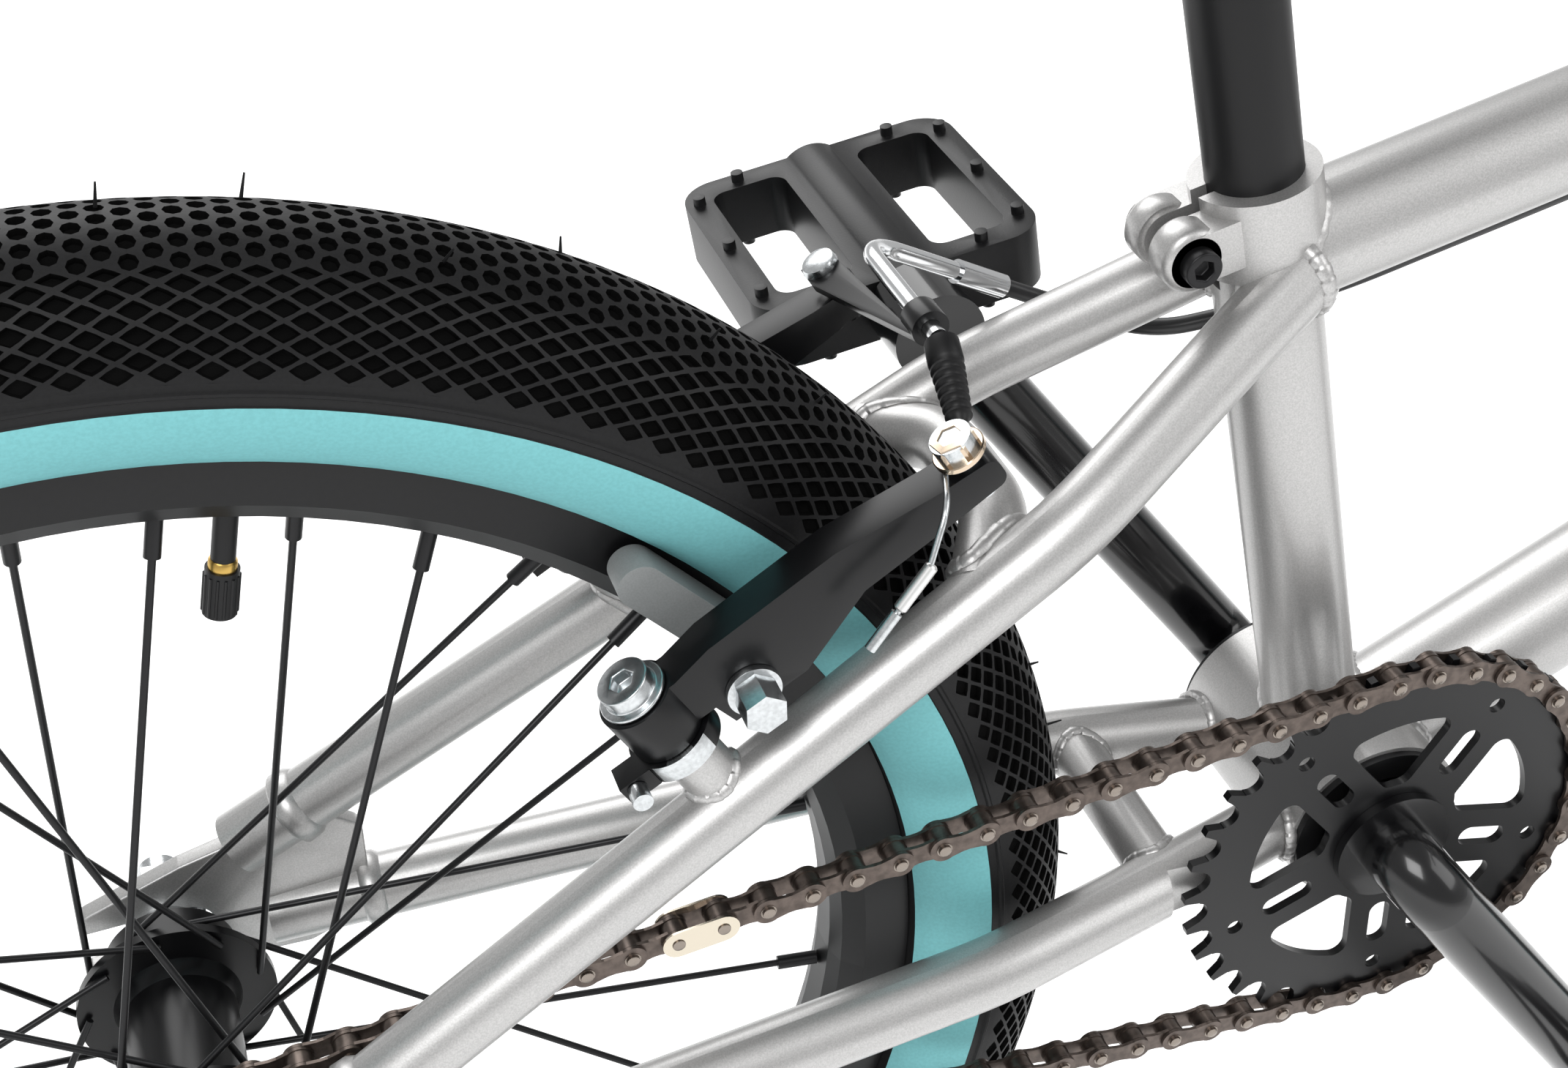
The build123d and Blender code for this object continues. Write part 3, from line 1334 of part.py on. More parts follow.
with BuildPart() as brake_spring_collars:
    start = brake(brake_pivot_station, pivot, boss_height + 0.1)
    add(ring_bar(start, start + stay_b * 6.0, 11.5, boss_stud_radius + slip_clearance))
    with BuildSketch(Plane(origin=start, x_dir=stay_u, z_dir=stay_b)):
        with Locations((-13, 4)):
            Rectangle(9, 8)
    extrude(amount=6.0)
    screw = brake(brake_pivot_station - 14, pivot + 8.2, boss_height + 3.1)
    add(rod(screw, screw + LEFT * 5, 2.6))
    mirror(about=Plane.XZ)
save(brake_spring_collars.part, "brake_spring_collars")

with BuildPart() as brake_pivot_bolts:
    low = brake(brake_pivot_station, pivot, boss_stud_height + 0.1)
    washer_low = brake(brake_pivot_station, pivot, arm_barrel_high + 0.4)
    add(rod(low, low + stay_b * 2, boss_stud_radius))
    add(rod(washer_low, washer_low + stay_b * 1.2, 9.0))
    add(rod(washer_low + stay_b * 1.2, washer_low + stay_b * 5.6, 7.0))
    with BuildSketch(Plane(origin=washer_low + stay_b * 5.6, x_dir=stay_u, z_dir=stay_b)):
        RegularPolygon(3.4, 6)
    extrude(amount=-3.2, mode=Mode.SUBTRACT)
    mirror(about=Plane.XZ)
save(brake_pivot_bolts.part, "brake_pivot_bolts")

left_arm_barrel = rod(
    brake(brake_pivot_station, pivot, arm_barrel_low),
    brake(brake_pivot_station, pivot, arm_barrel_high), arm_barrel_radius)
left_arm_bore = rod(
    brake(brake_pivot_station, pivot, 0), brake(brake_pivot_station, pivot, 60),
    boss_stud_radius + running_clearance)
pad_bore = rod(
    brake(pad_station, 0, pad_height), brake(pad_station, 80, pad_height), stud_radius + slip_clearance)
anchor_bore = rod(
    brake(anchor_station, pivot, 20), brake(anchor_station, pivot, 60), stud_radius + slip_clearance)
with BuildPart() as left_brake_arm:
    with BuildSketch(Plane(origin=brake(0, pivot, 0), x_dir=stay_u, z_dir=-LEFT)):
        with BuildLine():
            Polyline(
                (brake_pivot_station - 2, arm_barrel_low + 1),
                (brake_pivot_station - 2, arm_barrel_high),
                (brake_pivot_station + 10, arm_barrel_high), (197, 48), (235, 49),
                (anchor_station - 9, 45), (anchor_station + 6, 44),
                (anchor_station + 6, 36), (anchor_station - 9, 35), (235, 34), (212, 24),
                (190.5, 24), (189.0, arm_barrel_low + 1), close=True)
        make_face()
        fillet(vertices().sort_by(Axis.X)[-2:], 3.0)
    extrude(amount=arm_half_thickness, both=True)
    add(left_arm_barrel)
    add([left_arm_bore, pad_bore, anchor_bore], mode=Mode.SUBTRACT)
save(left_brake_arm.part, "left_brake_arm")
with BuildPart() as right_brake_arm:
    add(mirror(left_brake_arm.part, about=Plane.XZ, mode=Mode.PRIVATE))
save(right_brake_arm.part, "right_brake_arm")

arm_inner = pivot - arm_half_thickness
arm_outer_face = pivot + arm_half_thickness
pad_shift = 5.0
pad_drop = 3.0
pad_centre = brake(pad_station - pad_drop, pad_face, pad_height) + stay_b * pad_shift
pad_tilt = -12.6
pad_direction = (stay_b * cos(radians(pad_tilt)) + stay_u * sin(radians(pad_tilt)))
with BuildPart() as left_brake_pad:
    with BuildSketch(Plane(origin=pad_centre, x_dir=pad_direction, z_dir=LEFT)):
        SlotOverall(2 * pad_half_length, 12.0)
    extrude(amount=pad_thickness)
    back = brake(pad_station, pad_face + pad_thickness - 1, pad_height)
    reach = arm_inner - pad_face - pad_thickness - 0.2
    add(rod(back, back + LEFT * (1 + reach), 7.0))
    add(rod(back, brake(pad_station, arm_outer_face + 8, pad_height), stud_radius))
    nut_seat = brake(pad_station, arm_outer_face + 0.1, pad_height)
    add(rod(nut_seat, nut_seat + LEFT * 2, 7.0))
    with BuildSketch(Plane(origin=nut_seat + LEFT * 2, x_dir=stay_u, z_dir=LEFT)):
        RegularPolygon(5.0, 6, major_radius=False)
    extrude(amount=9.0)
save(left_brake_pad.part, "left_brake_pad")
with BuildPart() as right_brake_pad:
    add(mirror(left_brake_pad.part, about=Plane.XZ, mode=Mode.PRIVATE))
save(right_brake_pad.part, "right_brake_pad")

noodle_radius = 2.6
noodle_route = [brake(noodle_station, noodle_tip, noodle_height), noodle_elbow, noodle_end]
noodle_bore = 1.2
link_eye = 4.0
link_low = noodle_height - 1.6
link_thickness = 3.0
noodle_sleeve = rod(
    brake(noodle_station, -link_eye, noodle_height), brake(noodle_station, link_eye, noodle_height), 5.0)
noodle_clear = rod(
    brake(noodle_station, noodle_tip - 5, noodle_height), brake(noodle_station, 40, noodle_height),
    noodle_radius + slip_clearance)
with BuildPart() as noodle_link:
    with BuildSketch(Plane(origin=brake(0, 0, link_low), x_dir=stay_u, z_dir=stay_b)):
        with BuildLine():
            Polyline(
                (anchor_station - 5, pivot - 4), (anchor_station - 5, pivot + 4),
                (anchor_station + 4, pivot + 5), (noodle_station - 4.5, link_eye),
                (noodle_station + 4, link_eye), (noodle_station + 4, -link_eye),
                (noodle_station - 4.5, -link_eye), close=True)
        make_face()
    extrude(amount=link_thickness)
    add(noodle_sleeve)
    add(rod(brake(anchor_station, pivot, 33), brake(anchor_station, pivot, noodle_height + 3), stud_radius))
    add(noodle_clear, mode=Mode.SUBTRACT)
save(noodle_link.part, "noodle_link")

noodle_solid = swept(noodle_route, [15.0], noodle_radius)
noodle_hole = swept(noodle_route, [15.0], noodle_bore)
ferrule = ring_bar(noodle_end - noodle_heading * 18, noodle_end, 3.5, noodle_bore)
with BuildPart() as cable_noodle:
    add(noodle_solid - noodle_hole)
    add(ferrule)
save(cable_noodle.part, "cable_noodle")

anchor_top = 44.0
cable_height = anchor_top + 1.9
tail_route = [
    brake(anchor_station - 5.4, -pivot - 1, cable_height),
    brake(anchor_station - 10, -pivot - 12, cable_height),
    brake(anchor_station - 22, -pivot - 17, 38),
    brake(anchor_station - 36, -pivot - 18, 33),
]
tail_solid = swept(tail_route, [10.0, 14.0], cable_radius)
tail_end = tail_route[-1]
tail_axis = (tail_route[-1] - tail_route[-2]).normalized()
with BuildPart() as cable_anchor_bolt:
    foot = brake(anchor_station, -pivot, 33)
    add(rod(foot, brake(anchor_station, -pivot, cable_height + 2), stud_radius))
    washer_foot = brake(anchor_station, -pivot, cable_height + 1)
    head_foot = washer_foot + stay_b * 1.6
    add(rod(washer_foot, head_foot, 6.5))
    add(rod(head_foot, head_foot + stay_b * 4.4, 5.4))
    add(tail_solid)
    add(rod(tail_end - tail_axis * 2, tail_end + tail_axis * 9, 1.5))
save(cable_anchor_bolt.part, "cable_anchor_bolt")

boot_route = [
    brake(noodle_station, noodle_tip - 1.6, noodle_height),
    brake(anchor_station + 3.5, arm_half_thickness - pivot + 2, cable_height),
]
boot_axis = (boot_route[1] - boot_route[0]).normalized()
boot_head_length = 8.0
boot_ribs = 7
boot_rib_pitch = 2.4
boot_length = boot_head_length + boot_ribs * boot_rib_pitch
with BuildPart() as cable_boot:
    add(rod(boot_route[0], boot_route[0] + boot_axis * boot_head_length, 4.4))
    for rib in range(boot_ribs):
        start = boot_route[0] + boot_axis * (boot_head_length + rib * boot_rib_pitch)
        middle = start + boot_axis * boot_rib_pitch / 2
        add(rod(start, middle, 4.4 - 0.2 * rib))
        add(rod(middle, start + boot_axis * boot_rib_pitch, 3.4 - 0.15 * rib))
    add(rod(boot_route[0] + boot_axis * (boot_length - 1), boot_route[1], cable_radius))
save(cable_boot.part, "cable_boot")
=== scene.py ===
"""Looks of the BMX bike: materials, moulded tyres, welds, cables, padded saddle, lights and camera.

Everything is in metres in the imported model's frame: +X forward, +Y to the rider's left, +Z up.
"""
import random
from math import asin, atan2, cos, degrees, hypot, pi, radians, sin, tan

import bmesh
import bpy
from mathutils import Matrix, Vector


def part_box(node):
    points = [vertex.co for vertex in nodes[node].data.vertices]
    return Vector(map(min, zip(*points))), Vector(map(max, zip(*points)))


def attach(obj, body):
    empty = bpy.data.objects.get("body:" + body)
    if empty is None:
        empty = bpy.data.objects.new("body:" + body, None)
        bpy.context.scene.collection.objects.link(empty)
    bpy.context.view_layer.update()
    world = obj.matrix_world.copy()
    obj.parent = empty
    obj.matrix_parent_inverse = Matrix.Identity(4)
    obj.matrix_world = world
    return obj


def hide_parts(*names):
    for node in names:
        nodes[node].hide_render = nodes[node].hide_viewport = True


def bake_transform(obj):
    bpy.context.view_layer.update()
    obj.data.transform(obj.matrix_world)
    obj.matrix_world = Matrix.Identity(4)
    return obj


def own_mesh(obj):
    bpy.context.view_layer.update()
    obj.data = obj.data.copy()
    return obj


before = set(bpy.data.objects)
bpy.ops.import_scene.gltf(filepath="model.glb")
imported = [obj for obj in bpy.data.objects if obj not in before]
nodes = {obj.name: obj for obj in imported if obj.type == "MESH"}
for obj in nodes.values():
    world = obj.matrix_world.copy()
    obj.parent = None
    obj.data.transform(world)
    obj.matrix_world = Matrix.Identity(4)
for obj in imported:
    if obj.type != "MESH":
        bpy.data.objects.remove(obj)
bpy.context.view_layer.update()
MM = 0.001
LEFT = Vector((0, 1, 0))
random.seed(7)


# ---------------------------------------------------------------------------------------------
# Layout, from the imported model's own parts
# ---------------------------------------------------------------------------------------------
def middle(node):
    """Centre of a CAD node's box, put on the bike's centre plane."""
    low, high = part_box(node)
    centre = (low + high) / 2
    return Vector((centre.x, 0, centre.z))


REAR = middle("rear_rim")
FRONT = middle("front_rim")
SHELL = middle("bottom_bracket_shell")
REAR_ALONG = (SHELL - REAR).normalized()
REAR_SQUARE = Vector((-REAR_ALONG.z, 0, REAR_ALONG.x))
STAY_LENGTH = (SHELL - REAR).length
STAY_SLOPE = radians(28.8)
STAY_U = REAR_ALONG * cos(STAY_SLOPE) + REAR_SQUARE * sin(STAY_SLOPE)
STAY_B = REAR_SQUARE * cos(STAY_SLOPE) - REAR_ALONG * sin(STAY_SLOPE)
STAY_LIFT = 8.76
SEAT_AXIS = Vector((-cos(radians(72.5)), 0, sin(radians(72.5))))
STEER_AXIS = Vector((-cos(radians(74.5)), 0, sin(radians(74.5))))
STEER_SQUARE = Vector((STEER_AXIS.z, 0, -STEER_AXIS.x))
CROWN = FRONT - STEER_SQUARE * 30 * MM + STEER_AXIS * 315 * MM
HEAD_BOTTOM = CROWN + STEER_AXIS * 2 * MM
HEAD_TOP = HEAD_BOTTOM + STEER_AXIS * 115 * MM
TOP_REAR = SHELL + SEAT_AXIS * 191 * MM
TOP_FRONT = HEAD_TOP - STEER_AXIS * 23 * MM
TOP_AXIS = (TOP_FRONT - TOP_REAR).normalized()
TOP_UNDER = Vector((TOP_AXIS.z, 0, -TOP_AXIS.x))
DOWN_FRONT = HEAD_BOTTOM + STEER_AXIS * 24 * MM


def rear(x, y, z):
    """Point in the rear triangle, in millimetres from the axle."""
    return REAR + REAR_ALONG * x * MM + LEFT * y * MM + REAR_SQUARE * z * MM


def brake(s, y, h):
    """Point near the seat stays, in millimetres: s up the stay, h above the stays' plane."""
    return REAR + STAY_U * s * MM + LEFT * y * MM + STAY_B * (h + STAY_LIFT) * MM


PIVOT_STATION = 175.6
PIVOT_SIDE = 45
ANCHOR_STATION = 272.6
NOODLE_STATION = 285.1
NOODLE_HEIGHT = 50.5


# ---------------------------------------------------------------------------------------------
# Materials
# ---------------------------------------------------------------------------------------------
def finish(name, colour, roughness, metallic=0.0, coat=0.0, grain=0.0, grain_size=0.5, mottle=0.0,
           specular=0.5, transmission=0.0, sheen=0.0):
    """Principled material with a fine bump grain and a light mottling of its colour."""
    material = bpy.data.materials.new(name)
    material.use_nodes = True
    tree = material.node_tree
    shader = tree.nodes["Principled BSDF"]
    shader.inputs["Base Color"].default_value = (*colour, 1)
    shader.inputs["Roughness"].default_value = roughness
    shader.inputs["Metallic"].default_value = metallic
    shader.inputs["Coat Weight"].default_value = coat
    shader.inputs["Coat Roughness"].default_value = 0.06
    shader.inputs["Specular IOR Level"].default_value = specular
    shader.inputs["Transmission Weight"].default_value = transmission
    shader.inputs["Sheen Weight"].default_value = sheen
    place = tree.nodes.new("ShaderNodeTexCoord")
    noise = tree.nodes.new("ShaderNodeTexNoise")
    noise.inputs["Scale"].default_value = 1 / (grain_size * MM)
    noise.inputs["Detail"].default_value = 3.0
    tree.links.new(place.outputs["Object"], noise.inputs["Vector"])
    if grain:
        bump = tree.nodes.new("ShaderNodeBump")
        bump.inputs["Strength"].default_value = grain
        bump.inputs["Distance"].default_value = 0.2 * MM
        tree.links.new(noise.outputs["Fac"], bump.inputs["Height"])
        tree.links.new(bump.outputs["Normal"], shader.inputs["Normal"])
    if mottle:
        ramp = tree.nodes.new("ShaderNodeValToRGB")
        ramp.color_ramp.elements[0].position = 0.35
        ramp.color_ramp.elements[1].position = 0.65
        ramp.color_ramp.elements[0].color = (*[v * (1 - mottle) for v in colour], 1)
        ramp.color_ramp.elements[1].color = (*[min(1, v * (1 + mottle)) for v in colour], 1)
        tree.links.new(noise.outputs["Fac"], ramp.inputs["Fac"])
        tree.links.new(ramp.outputs["Color"], shader.inputs["Base Color"])
    return material


SILVER = finish("silver_paint", (0.46, 0.455, 0.45), 0.40, 0.75, coat=0.3,
                grain=0.10, grain_size=0.45, mottle=0.10)
GLOSS_BLACK = finish("gloss_black", (0.003, 0.003, 0.0035), 0.20, coat=0.3, specular=0.4)
SATIN_BLACK = finish("satin_black", (0.003, 0.003, 0.0035), 0.30, specular=0.30, grain=0.04, grain_size=0.6)
POST_BLACK = finish("post_black", (0.004, 0.004, 0.0045), 0.42, specular=0.28, grain=0.04, grain_size=0.4)
RIM_BLACK = finish("rim_black", (0.004, 0.004, 0.0045), 0.36, specular=0.28,
                   grain=0.03, grain_size=1.5, mottle=0.12)
BLACK_STEEL = finish("black_steel", (0.014, 0.014, 0.015), 0.36, 0.6)
ZINC = finish("zinc", (0.55, 0.57, 0.58), 0.26, 1.0, grain=0.08, grain_size=1.2, mottle=0.10)
BRIGHT = finish("bright_steel", (0.72, 0.73, 0.74), 0.14, 1.0)
WARM_STEEL = finish("warm_steel", (0.62, 0.50, 0.38), 0.18, 1.0)
CHAIN_BROWN = finish("chain_brown", (0.105, 0.084, 0.073), 0.33, 0.85, mottle=0.25, grain_size=3.0)
PIN_STEEL = finish("pin_steel", (0.26, 0.225, 0.195), 0.26, 0.9)
NICKEL = finish("nickel", (0.62, 0.56, 0.46), 0.22, 1.0)
TYRE_RUBBER = finish("tyre_rubber", (0.006, 0.006, 0.0065), 0.50, specular=0.22,
                     grain=0.12, grain_size=0.8, mottle=0.15)
# Painted shade: a near-black, dull rubber laid on the pits' walls and floors, darkening them where shade
# falls in the pits.
PIT_SHADE = finish("pit_painted_shade", (0.0025, 0.0025, 0.0025), 0.8, specular=0.05)
TEAL = finish("teal_rubber", (0.16, 0.43, 0.45), 0.55, specular=0.25, grain=0.06, grain_size=1.0, mottle=0.05)
SOFT_RUBBER = finish("soft_rubber", (0.005, 0.005, 0.0055), 0.46, specular=0.28, grain=0.05)
PAD_GREY = finish("pad_grey", (0.20, 0.21, 0.21), 0.55, grain=0.10, mottle=0.06)
PLASTIC = finish("moulded_plastic", (0.005, 0.005, 0.0055), 0.40, specular=0.28, grain=0.18, grain_size=0.7)
HOUSING = finish("housing_black", (0.012, 0.012, 0.013), 0.34)
VINYL = finish("saddle_vinyl", (0.014, 0.014, 0.015), 0.50, grain=0.25, grain_size=0.8)
CRIMP = finish("crimp_aluminium", (0.75, 0.75, 0.74), 0.35, 1.0)
BRASS = finish("brass", (0.55, 0.36, 0.10), 0.30, 1.0)

LOOKS = {
    SILVER: """head_tube bottom_bracket_shell top_tube down_tube seat_tube dropouts seat_stays chain_stays
        stay_bridges brake_bosses cable_guides""",
    GLOSS_BLACK: "fork_steerer fork_legs handlebar crank",
    SATIN_BLACK: """stem stem_faceplate chainring left_brake_arm right_brake_arm lever_bracket brake_lever
        headset_cap front_hub rear_hub noodle_link brake_spring_collars""",
    POST_BLACK: "seat_post",
    RIM_BLACK: "front_rim rear_rim",
    BLACK_STEEL: """front_spokes rear_spokes seat_clamp_bolt stem_bolts seat_bolt bottom_bracket_cups
        crank_cones headset_bearings""",
    ZINC: "rear_axle rear_axle_nuts front_axle brake_pivot_bolts pedal_spindles cable_anchor_bolt",
    BRIGHT: "cable_noodle",
    CHAIN_BROWN: "chain freewheel_cog",
    TYRE_RUBBER: "front_tyre rear_tyre",
    SOFT_RUBBER: "front_inner_tube rear_inner_tube grips cable_boot",
    PAD_GREY: "left_brake_pad right_brake_pad",
    PLASTIC: "left_pedal right_pedal saddle_base",
    HOUSING: "brake_housing",
    VINYL: "saddle_cover",
}
for material, names in LOOKS.items():
    for name in names.split():
        nodes[name].data.materials.clear()
        nodes[name].data.materials.append(material)


# ---------------------------------------------------------------------------------------------
# Mesh helpers
# ---------------------------------------------------------------------------------------------
def piece(name, vertices, faces, body, *materials, flat_angle=40, weld=0.0):
    """New smooth-shaded mesh object that rides on a CAD body."""
    mesh = bpy.data.meshes.new(name)
    mesh.from_pydata([tuple(v) for v in vertices], [], faces)
    shaped = bmesh.new()
    shaped.from_mesh(mesh)
    if weld:
        bmesh.ops.remove_doubles(shaped, verts=shaped.verts, dist=weld)
    bmesh.ops.recalc_face_normals(shaped, faces=shaped.faces)
    shaped.to_mesh(mesh)
    shaped.free()
    return place_piece(name, mesh, body, materials, flat_angle)


def place_piece(name, mesh, body, materials, flat_angle=40):
    """Object for a finished mesh, with its materials, shading and body."""
    thing = bpy.data.objects.new(name, mesh)
    bpy.context.scene.collection.objects.link(thing)
    for material in materials:
        mesh.materials.append(material)
    mesh.shade_smooth()
    mesh.set_sharp_from_angle(angle=radians(flat_angle))
    if body:
        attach(thing, body)
    return thing


def square_to(axis):
    """Two unit vectors square to an axis and to each other."""
    first = axis.orthogonal().normalized()
    return first, axis.cross(first).normalized()


def lathe(start, end, outline, count=32):
    """Vertices and faces of an outline of (distance, radius) turned about the line from start to end."""
    axis = (end - start).normalized()
    first, second = square_to(axis)
    vertices, faces = [], []
    for distance, radius in outline:
        for step in range(count):
            turn = 2 * pi * step / count
            vertices.append(start + axis * distance + (first * cos(turn) + second * sin(turn)) * radius)
    for ring in range(len(outline) - 1):
        for step in range(count):
            a, b = ring * count + step, ring * count + (step + 1) % count
            faces.append((a, b, b + count, a + count))
    faces.append(tuple(range(count)))
    last = (len(outline) - 1) * count
    faces.append(tuple(range(last, last + count)))
    return vertices, faces


def joined(parts):
    """One list of vertices and faces from several."""
    vertices, faces = [], []
    for some_vertices, some_faces in parts:
        shift = len(vertices)
        vertices += some_vertices
        faces += [tuple(index + shift for index in face) for face in some_faces]
    return vertices, faces


def rounded(node, width, material, body):
    """Copy of a CAD node with its sharp edges rounded, standing for the node."""
    mesh = nodes[node].data.copy()
    shaped = bmesh.new()
    shaped.from_mesh(mesh)
    bmesh.ops.remove_doubles(shaped, verts=shaped.verts, dist=0.01 * MM)
    bmesh.ops.dissolve_limit(shaped, angle_limit=radians(1), verts=shaped.verts, edges=shaped.edges)
    sharp = [edge for edge in shaped.edges if edge.is_manifold and edge.calc_face_angle() > radians(35)]
    bmesh.ops.bevel(shaped, geom=sharp, offset=width * MM, segments=3, profile=0.5, affect="EDGES",
                    clamp_overlap=True)
    bmesh.ops.triangulate(shaped, faces=[face for face in shaped.faces if len(face.verts) > 4])
    shaped.to_mesh(mesh)
    shaped.free()
    mesh.materials.clear()
    thing = place_piece(node + "_rounded", mesh, body, [material], 50)
    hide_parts(node)
    return thing


# ---------------------------------------------------------------------------------------------
# Tyres: a casing covered with pits, a ridge and a coloured sidewall band
# ---------------------------------------------------------------------------------------------
TYRE_CENTRE = 232.4 * MM
TYRE_SECTION = 29.4 * MM
PIT_COLUMNS = 156
ROW_STEP = radians(5.22)
ROUND_ROWS = 6
LAST_ROW = 15
PIT_DEPTH = 2.1 * MM


def tyre_point(centre, turn, tilt, depth=0.0):
    """Point of the tyre: turn round the wheel, tilt round the section from the crown, depth inward."""
    reach = TYRE_CENTRE + (TYRE_SECTION - depth) * cos(tilt)
    return centre + Vector((reach * cos(turn), (TYRE_SECTION - depth) * sin(tilt), reach * sin(turn)))


def round_pit():
    """Diamond cell with a round dimple, as rings of (turn, tilt) shares and a depth share."""
    corners = [(1, 0), (0.5, 0.5), (0, 1), (-0.5, 0.5), (-1, 0), (-0.5, -0.5), (0, -1), (0.5, -0.5)]
    rings = [([*corners], 0.0)]
    for size, depth in ((0.42, 0.0), (0.38, 0.80), (0.22, 1.0)):
        angles = [2 * pi * step / 8 for step in range(8)]
        rings.append(([(size * cos(a), size * 1.9 * sin(a)) for a in angles], depth))
    return rings


def diamond_pit(size, height):
    """Diamond cell with a four-sided pit, its corners cut blunt."""
    corners = [(1, 0), (0.5, 0.5), (0, 1), (-0.5, 0.5), (-1, 0), (-0.5, -0.5), (0, -1), (0.5, -0.5)]
    bulge = 1.08
    rings = [([*corners], 0.0)]
    for scale, depth in ((1.0, 0.0), (0.84, 0.85), (0.55, 1.0)):
        ring = []
        for x, y in corners:
            swell = bulge if abs(x) == 0.5 else 1.0
            ring.append((x * size * scale * swell, y * height * scale * swell))
        rings.append((ring, depth))
    return rings


def make_tyre(name, centre, body, node):
    """Tyre with its tread as real pits, standing for the CAD tyre."""
    vertices, faces, pits = [], [], []
    pitch = 2 * pi / PIT_COLUMNS
    for row in range(-LAST_ROW, LAST_ROW + 1):
        away = abs(row)
        if away <= ROUND_ROWS:
            rings = round_pit()
        elif away == ROUND_ROWS + 1:
            rings = diamond_pit(0.68, 0.60)
        else:
            rings = diamond_pit(0.74, 0.80)
        lift = 0.6 if away == LAST_ROW else 1.0
        for column in range(PIT_COLUMNS):
            turn = (column + 0.5 * (away % 2)) * pitch
            start = len(vertices)
            for ring, depth in rings:
                for x, y in ring:
                    vertices.append(tyre_point(
                        centre, turn + x * pitch / 2, row * ROW_STEP + y * ROW_STEP,
                        depth * lift * PIT_DEPTH))
            for level in range(len(rings) - 1):
                for step in range(8):
                    a, b = start + level * 8 + step, start + level * 8 + (step + 1) % 8
                    # pit walls below the rim, and the pit floors below, are listed for the painted shade
                    if level:
                        pits.append(len(faces))
                    faces.append((a, b, b + 8, a + 8))
            pits.append(len(faces))
            faces.append(tuple(start + (len(rings) - 1) * 8 + step for step in range(8)))
    for side in (-1, 1):
        edge = (LAST_ROW + 1) * ROW_STEP
        # half cells close the zigzag below the last row of pits
        for column in range(PIT_COLUMNS):
            turn = (column + 0.5 + 0.5 * (LAST_ROW % 2)) * pitch
            start = len(vertices)
            for x, tilt in ((0, edge - ROW_STEP), (0.5, edge - ROW_STEP / 2), (1, edge),
                            (-1, edge), (-0.5, edge - ROW_STEP / 2)):
                vertices.append(tyre_point(centre, turn + x * pitch / 2, side * tilt))
            faces.append((start, start + 1, start + 2, start + 3, start + 4))
    teal = []
    edge_degrees = degrees((LAST_ROW + 1) * ROW_STEP)
    # (tilt in degrees, height above the casing in mm): a ridge, a groove, then the coloured band
    wall = [
        (edge_degrees, 0), (85.5, 0), (87, 0.05), (88, 0.7), (89.4, 0.7), (90.4, 0), (94.6, 0), (95.2, 0.45),
        (96.6, 0.5), (104, 0.5), (112, 0.5), (120, 0.5), (128, 0.5), (134, 0.4), (138, 0), (140, 0),
    ]
    # (distance from the axle, distance from the centre plane), round the inside of the casing
    inside = [(0.2093, 0.0124), (0.2015, 0.0124), (0.2015, 0.0086), (0.2130, 0.0086), (0.2130, 0.0170),
              (0.2324, 0.0262), (0.2500, 0.0194), (0.2586, 0.0)]
    for side in (-1, 1):
        rings = []
        for tilt, proud in wall:
            ring = []
            for column in range(PIT_COLUMNS):
                ring.append(len(vertices))
                vertices.append(tyre_point(centre, column * pitch, side * radians(tilt), -proud * MM))
            rings.append(ring)
        for reach, out in inside:
            ring = []
            for column in range(PIT_COLUMNS):
                ring.append(len(vertices))
                turn = column * pitch
                vertices.append(centre + Vector((reach * cos(turn), side * out, reach * sin(turn))))
            rings.append(ring)
        for level, (ring, after) in enumerate(zip(rings, rings[1:])):
            for column in range(PIT_COLUMNS):
                other = (column + 1) % PIT_COLUMNS
                if 7 <= level < len(wall) - 1:
                    teal.append(len(faces))
                faces.append((ring[column], ring[other], after[other], after[column]))
    mesh = bpy.data.meshes.new(name)
    mesh.from_pydata([tuple(v) for v in vertices], [], faces)
    mesh.materials.append(TYRE_RUBBER)
    mesh.materials.append(TEAL)
    # third slot: painted shade for the pits
    mesh.materials.append(PIT_SHADE)
    coloured = [0] * len(faces)
    for index in teal:
        coloured[index] = 1
    # pit faces take the painted shade in slot 2
    for index in pits:
        coloured[index] = 2
    mesh.polygons.foreach_set("material_index", coloured)
    shaped = bmesh.new()
    shaped.from_mesh(mesh)
    bmesh.ops.remove_doubles(shaped, verts=shaped.verts, dist=0.01 * MM)
    bmesh.ops.recalc_face_normals(shaped, faces=shaped.faces)
    shaped.to_mesh(mesh)
    shaped.free()
    thing = bpy.data.objects.new(name, mesh)
    bpy.context.scene.collection.objects.link(thing)
    mesh.shade_smooth()
    mesh.set_sharp_from_angle(angle=radians(32))
    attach(thing, body)
    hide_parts(node)
    hairs = []
    for index in range(44):
        turn = 2 * pi * (index + random.uniform(-0.2, 0.2)) / 44
        tilt = random.choice((-1, 1)) * radians(random.uniform(3, 30))
        foot = tyre_point(centre, turn, tilt, 0.3 * MM)
        tip = tyre_point(centre, turn + random.uniform(-0.006, 0.006), tilt, -random.uniform(2.5, 5.5) * MM)
        hairs.append(lathe(foot, tip, [(0, 0.5 * MM), ((tip - foot).length, 0.25 * MM)], 5))
    piece(name + "_hairs", *joined(hairs), body, TYRE_RUBBER)
    return thing


make_tyre("rear_tyre_tread", REAR, "rear_wheel", "rear_tyre")
make_tyre("front_tyre_tread", FRONT, "front_wheel", "front_tyre")


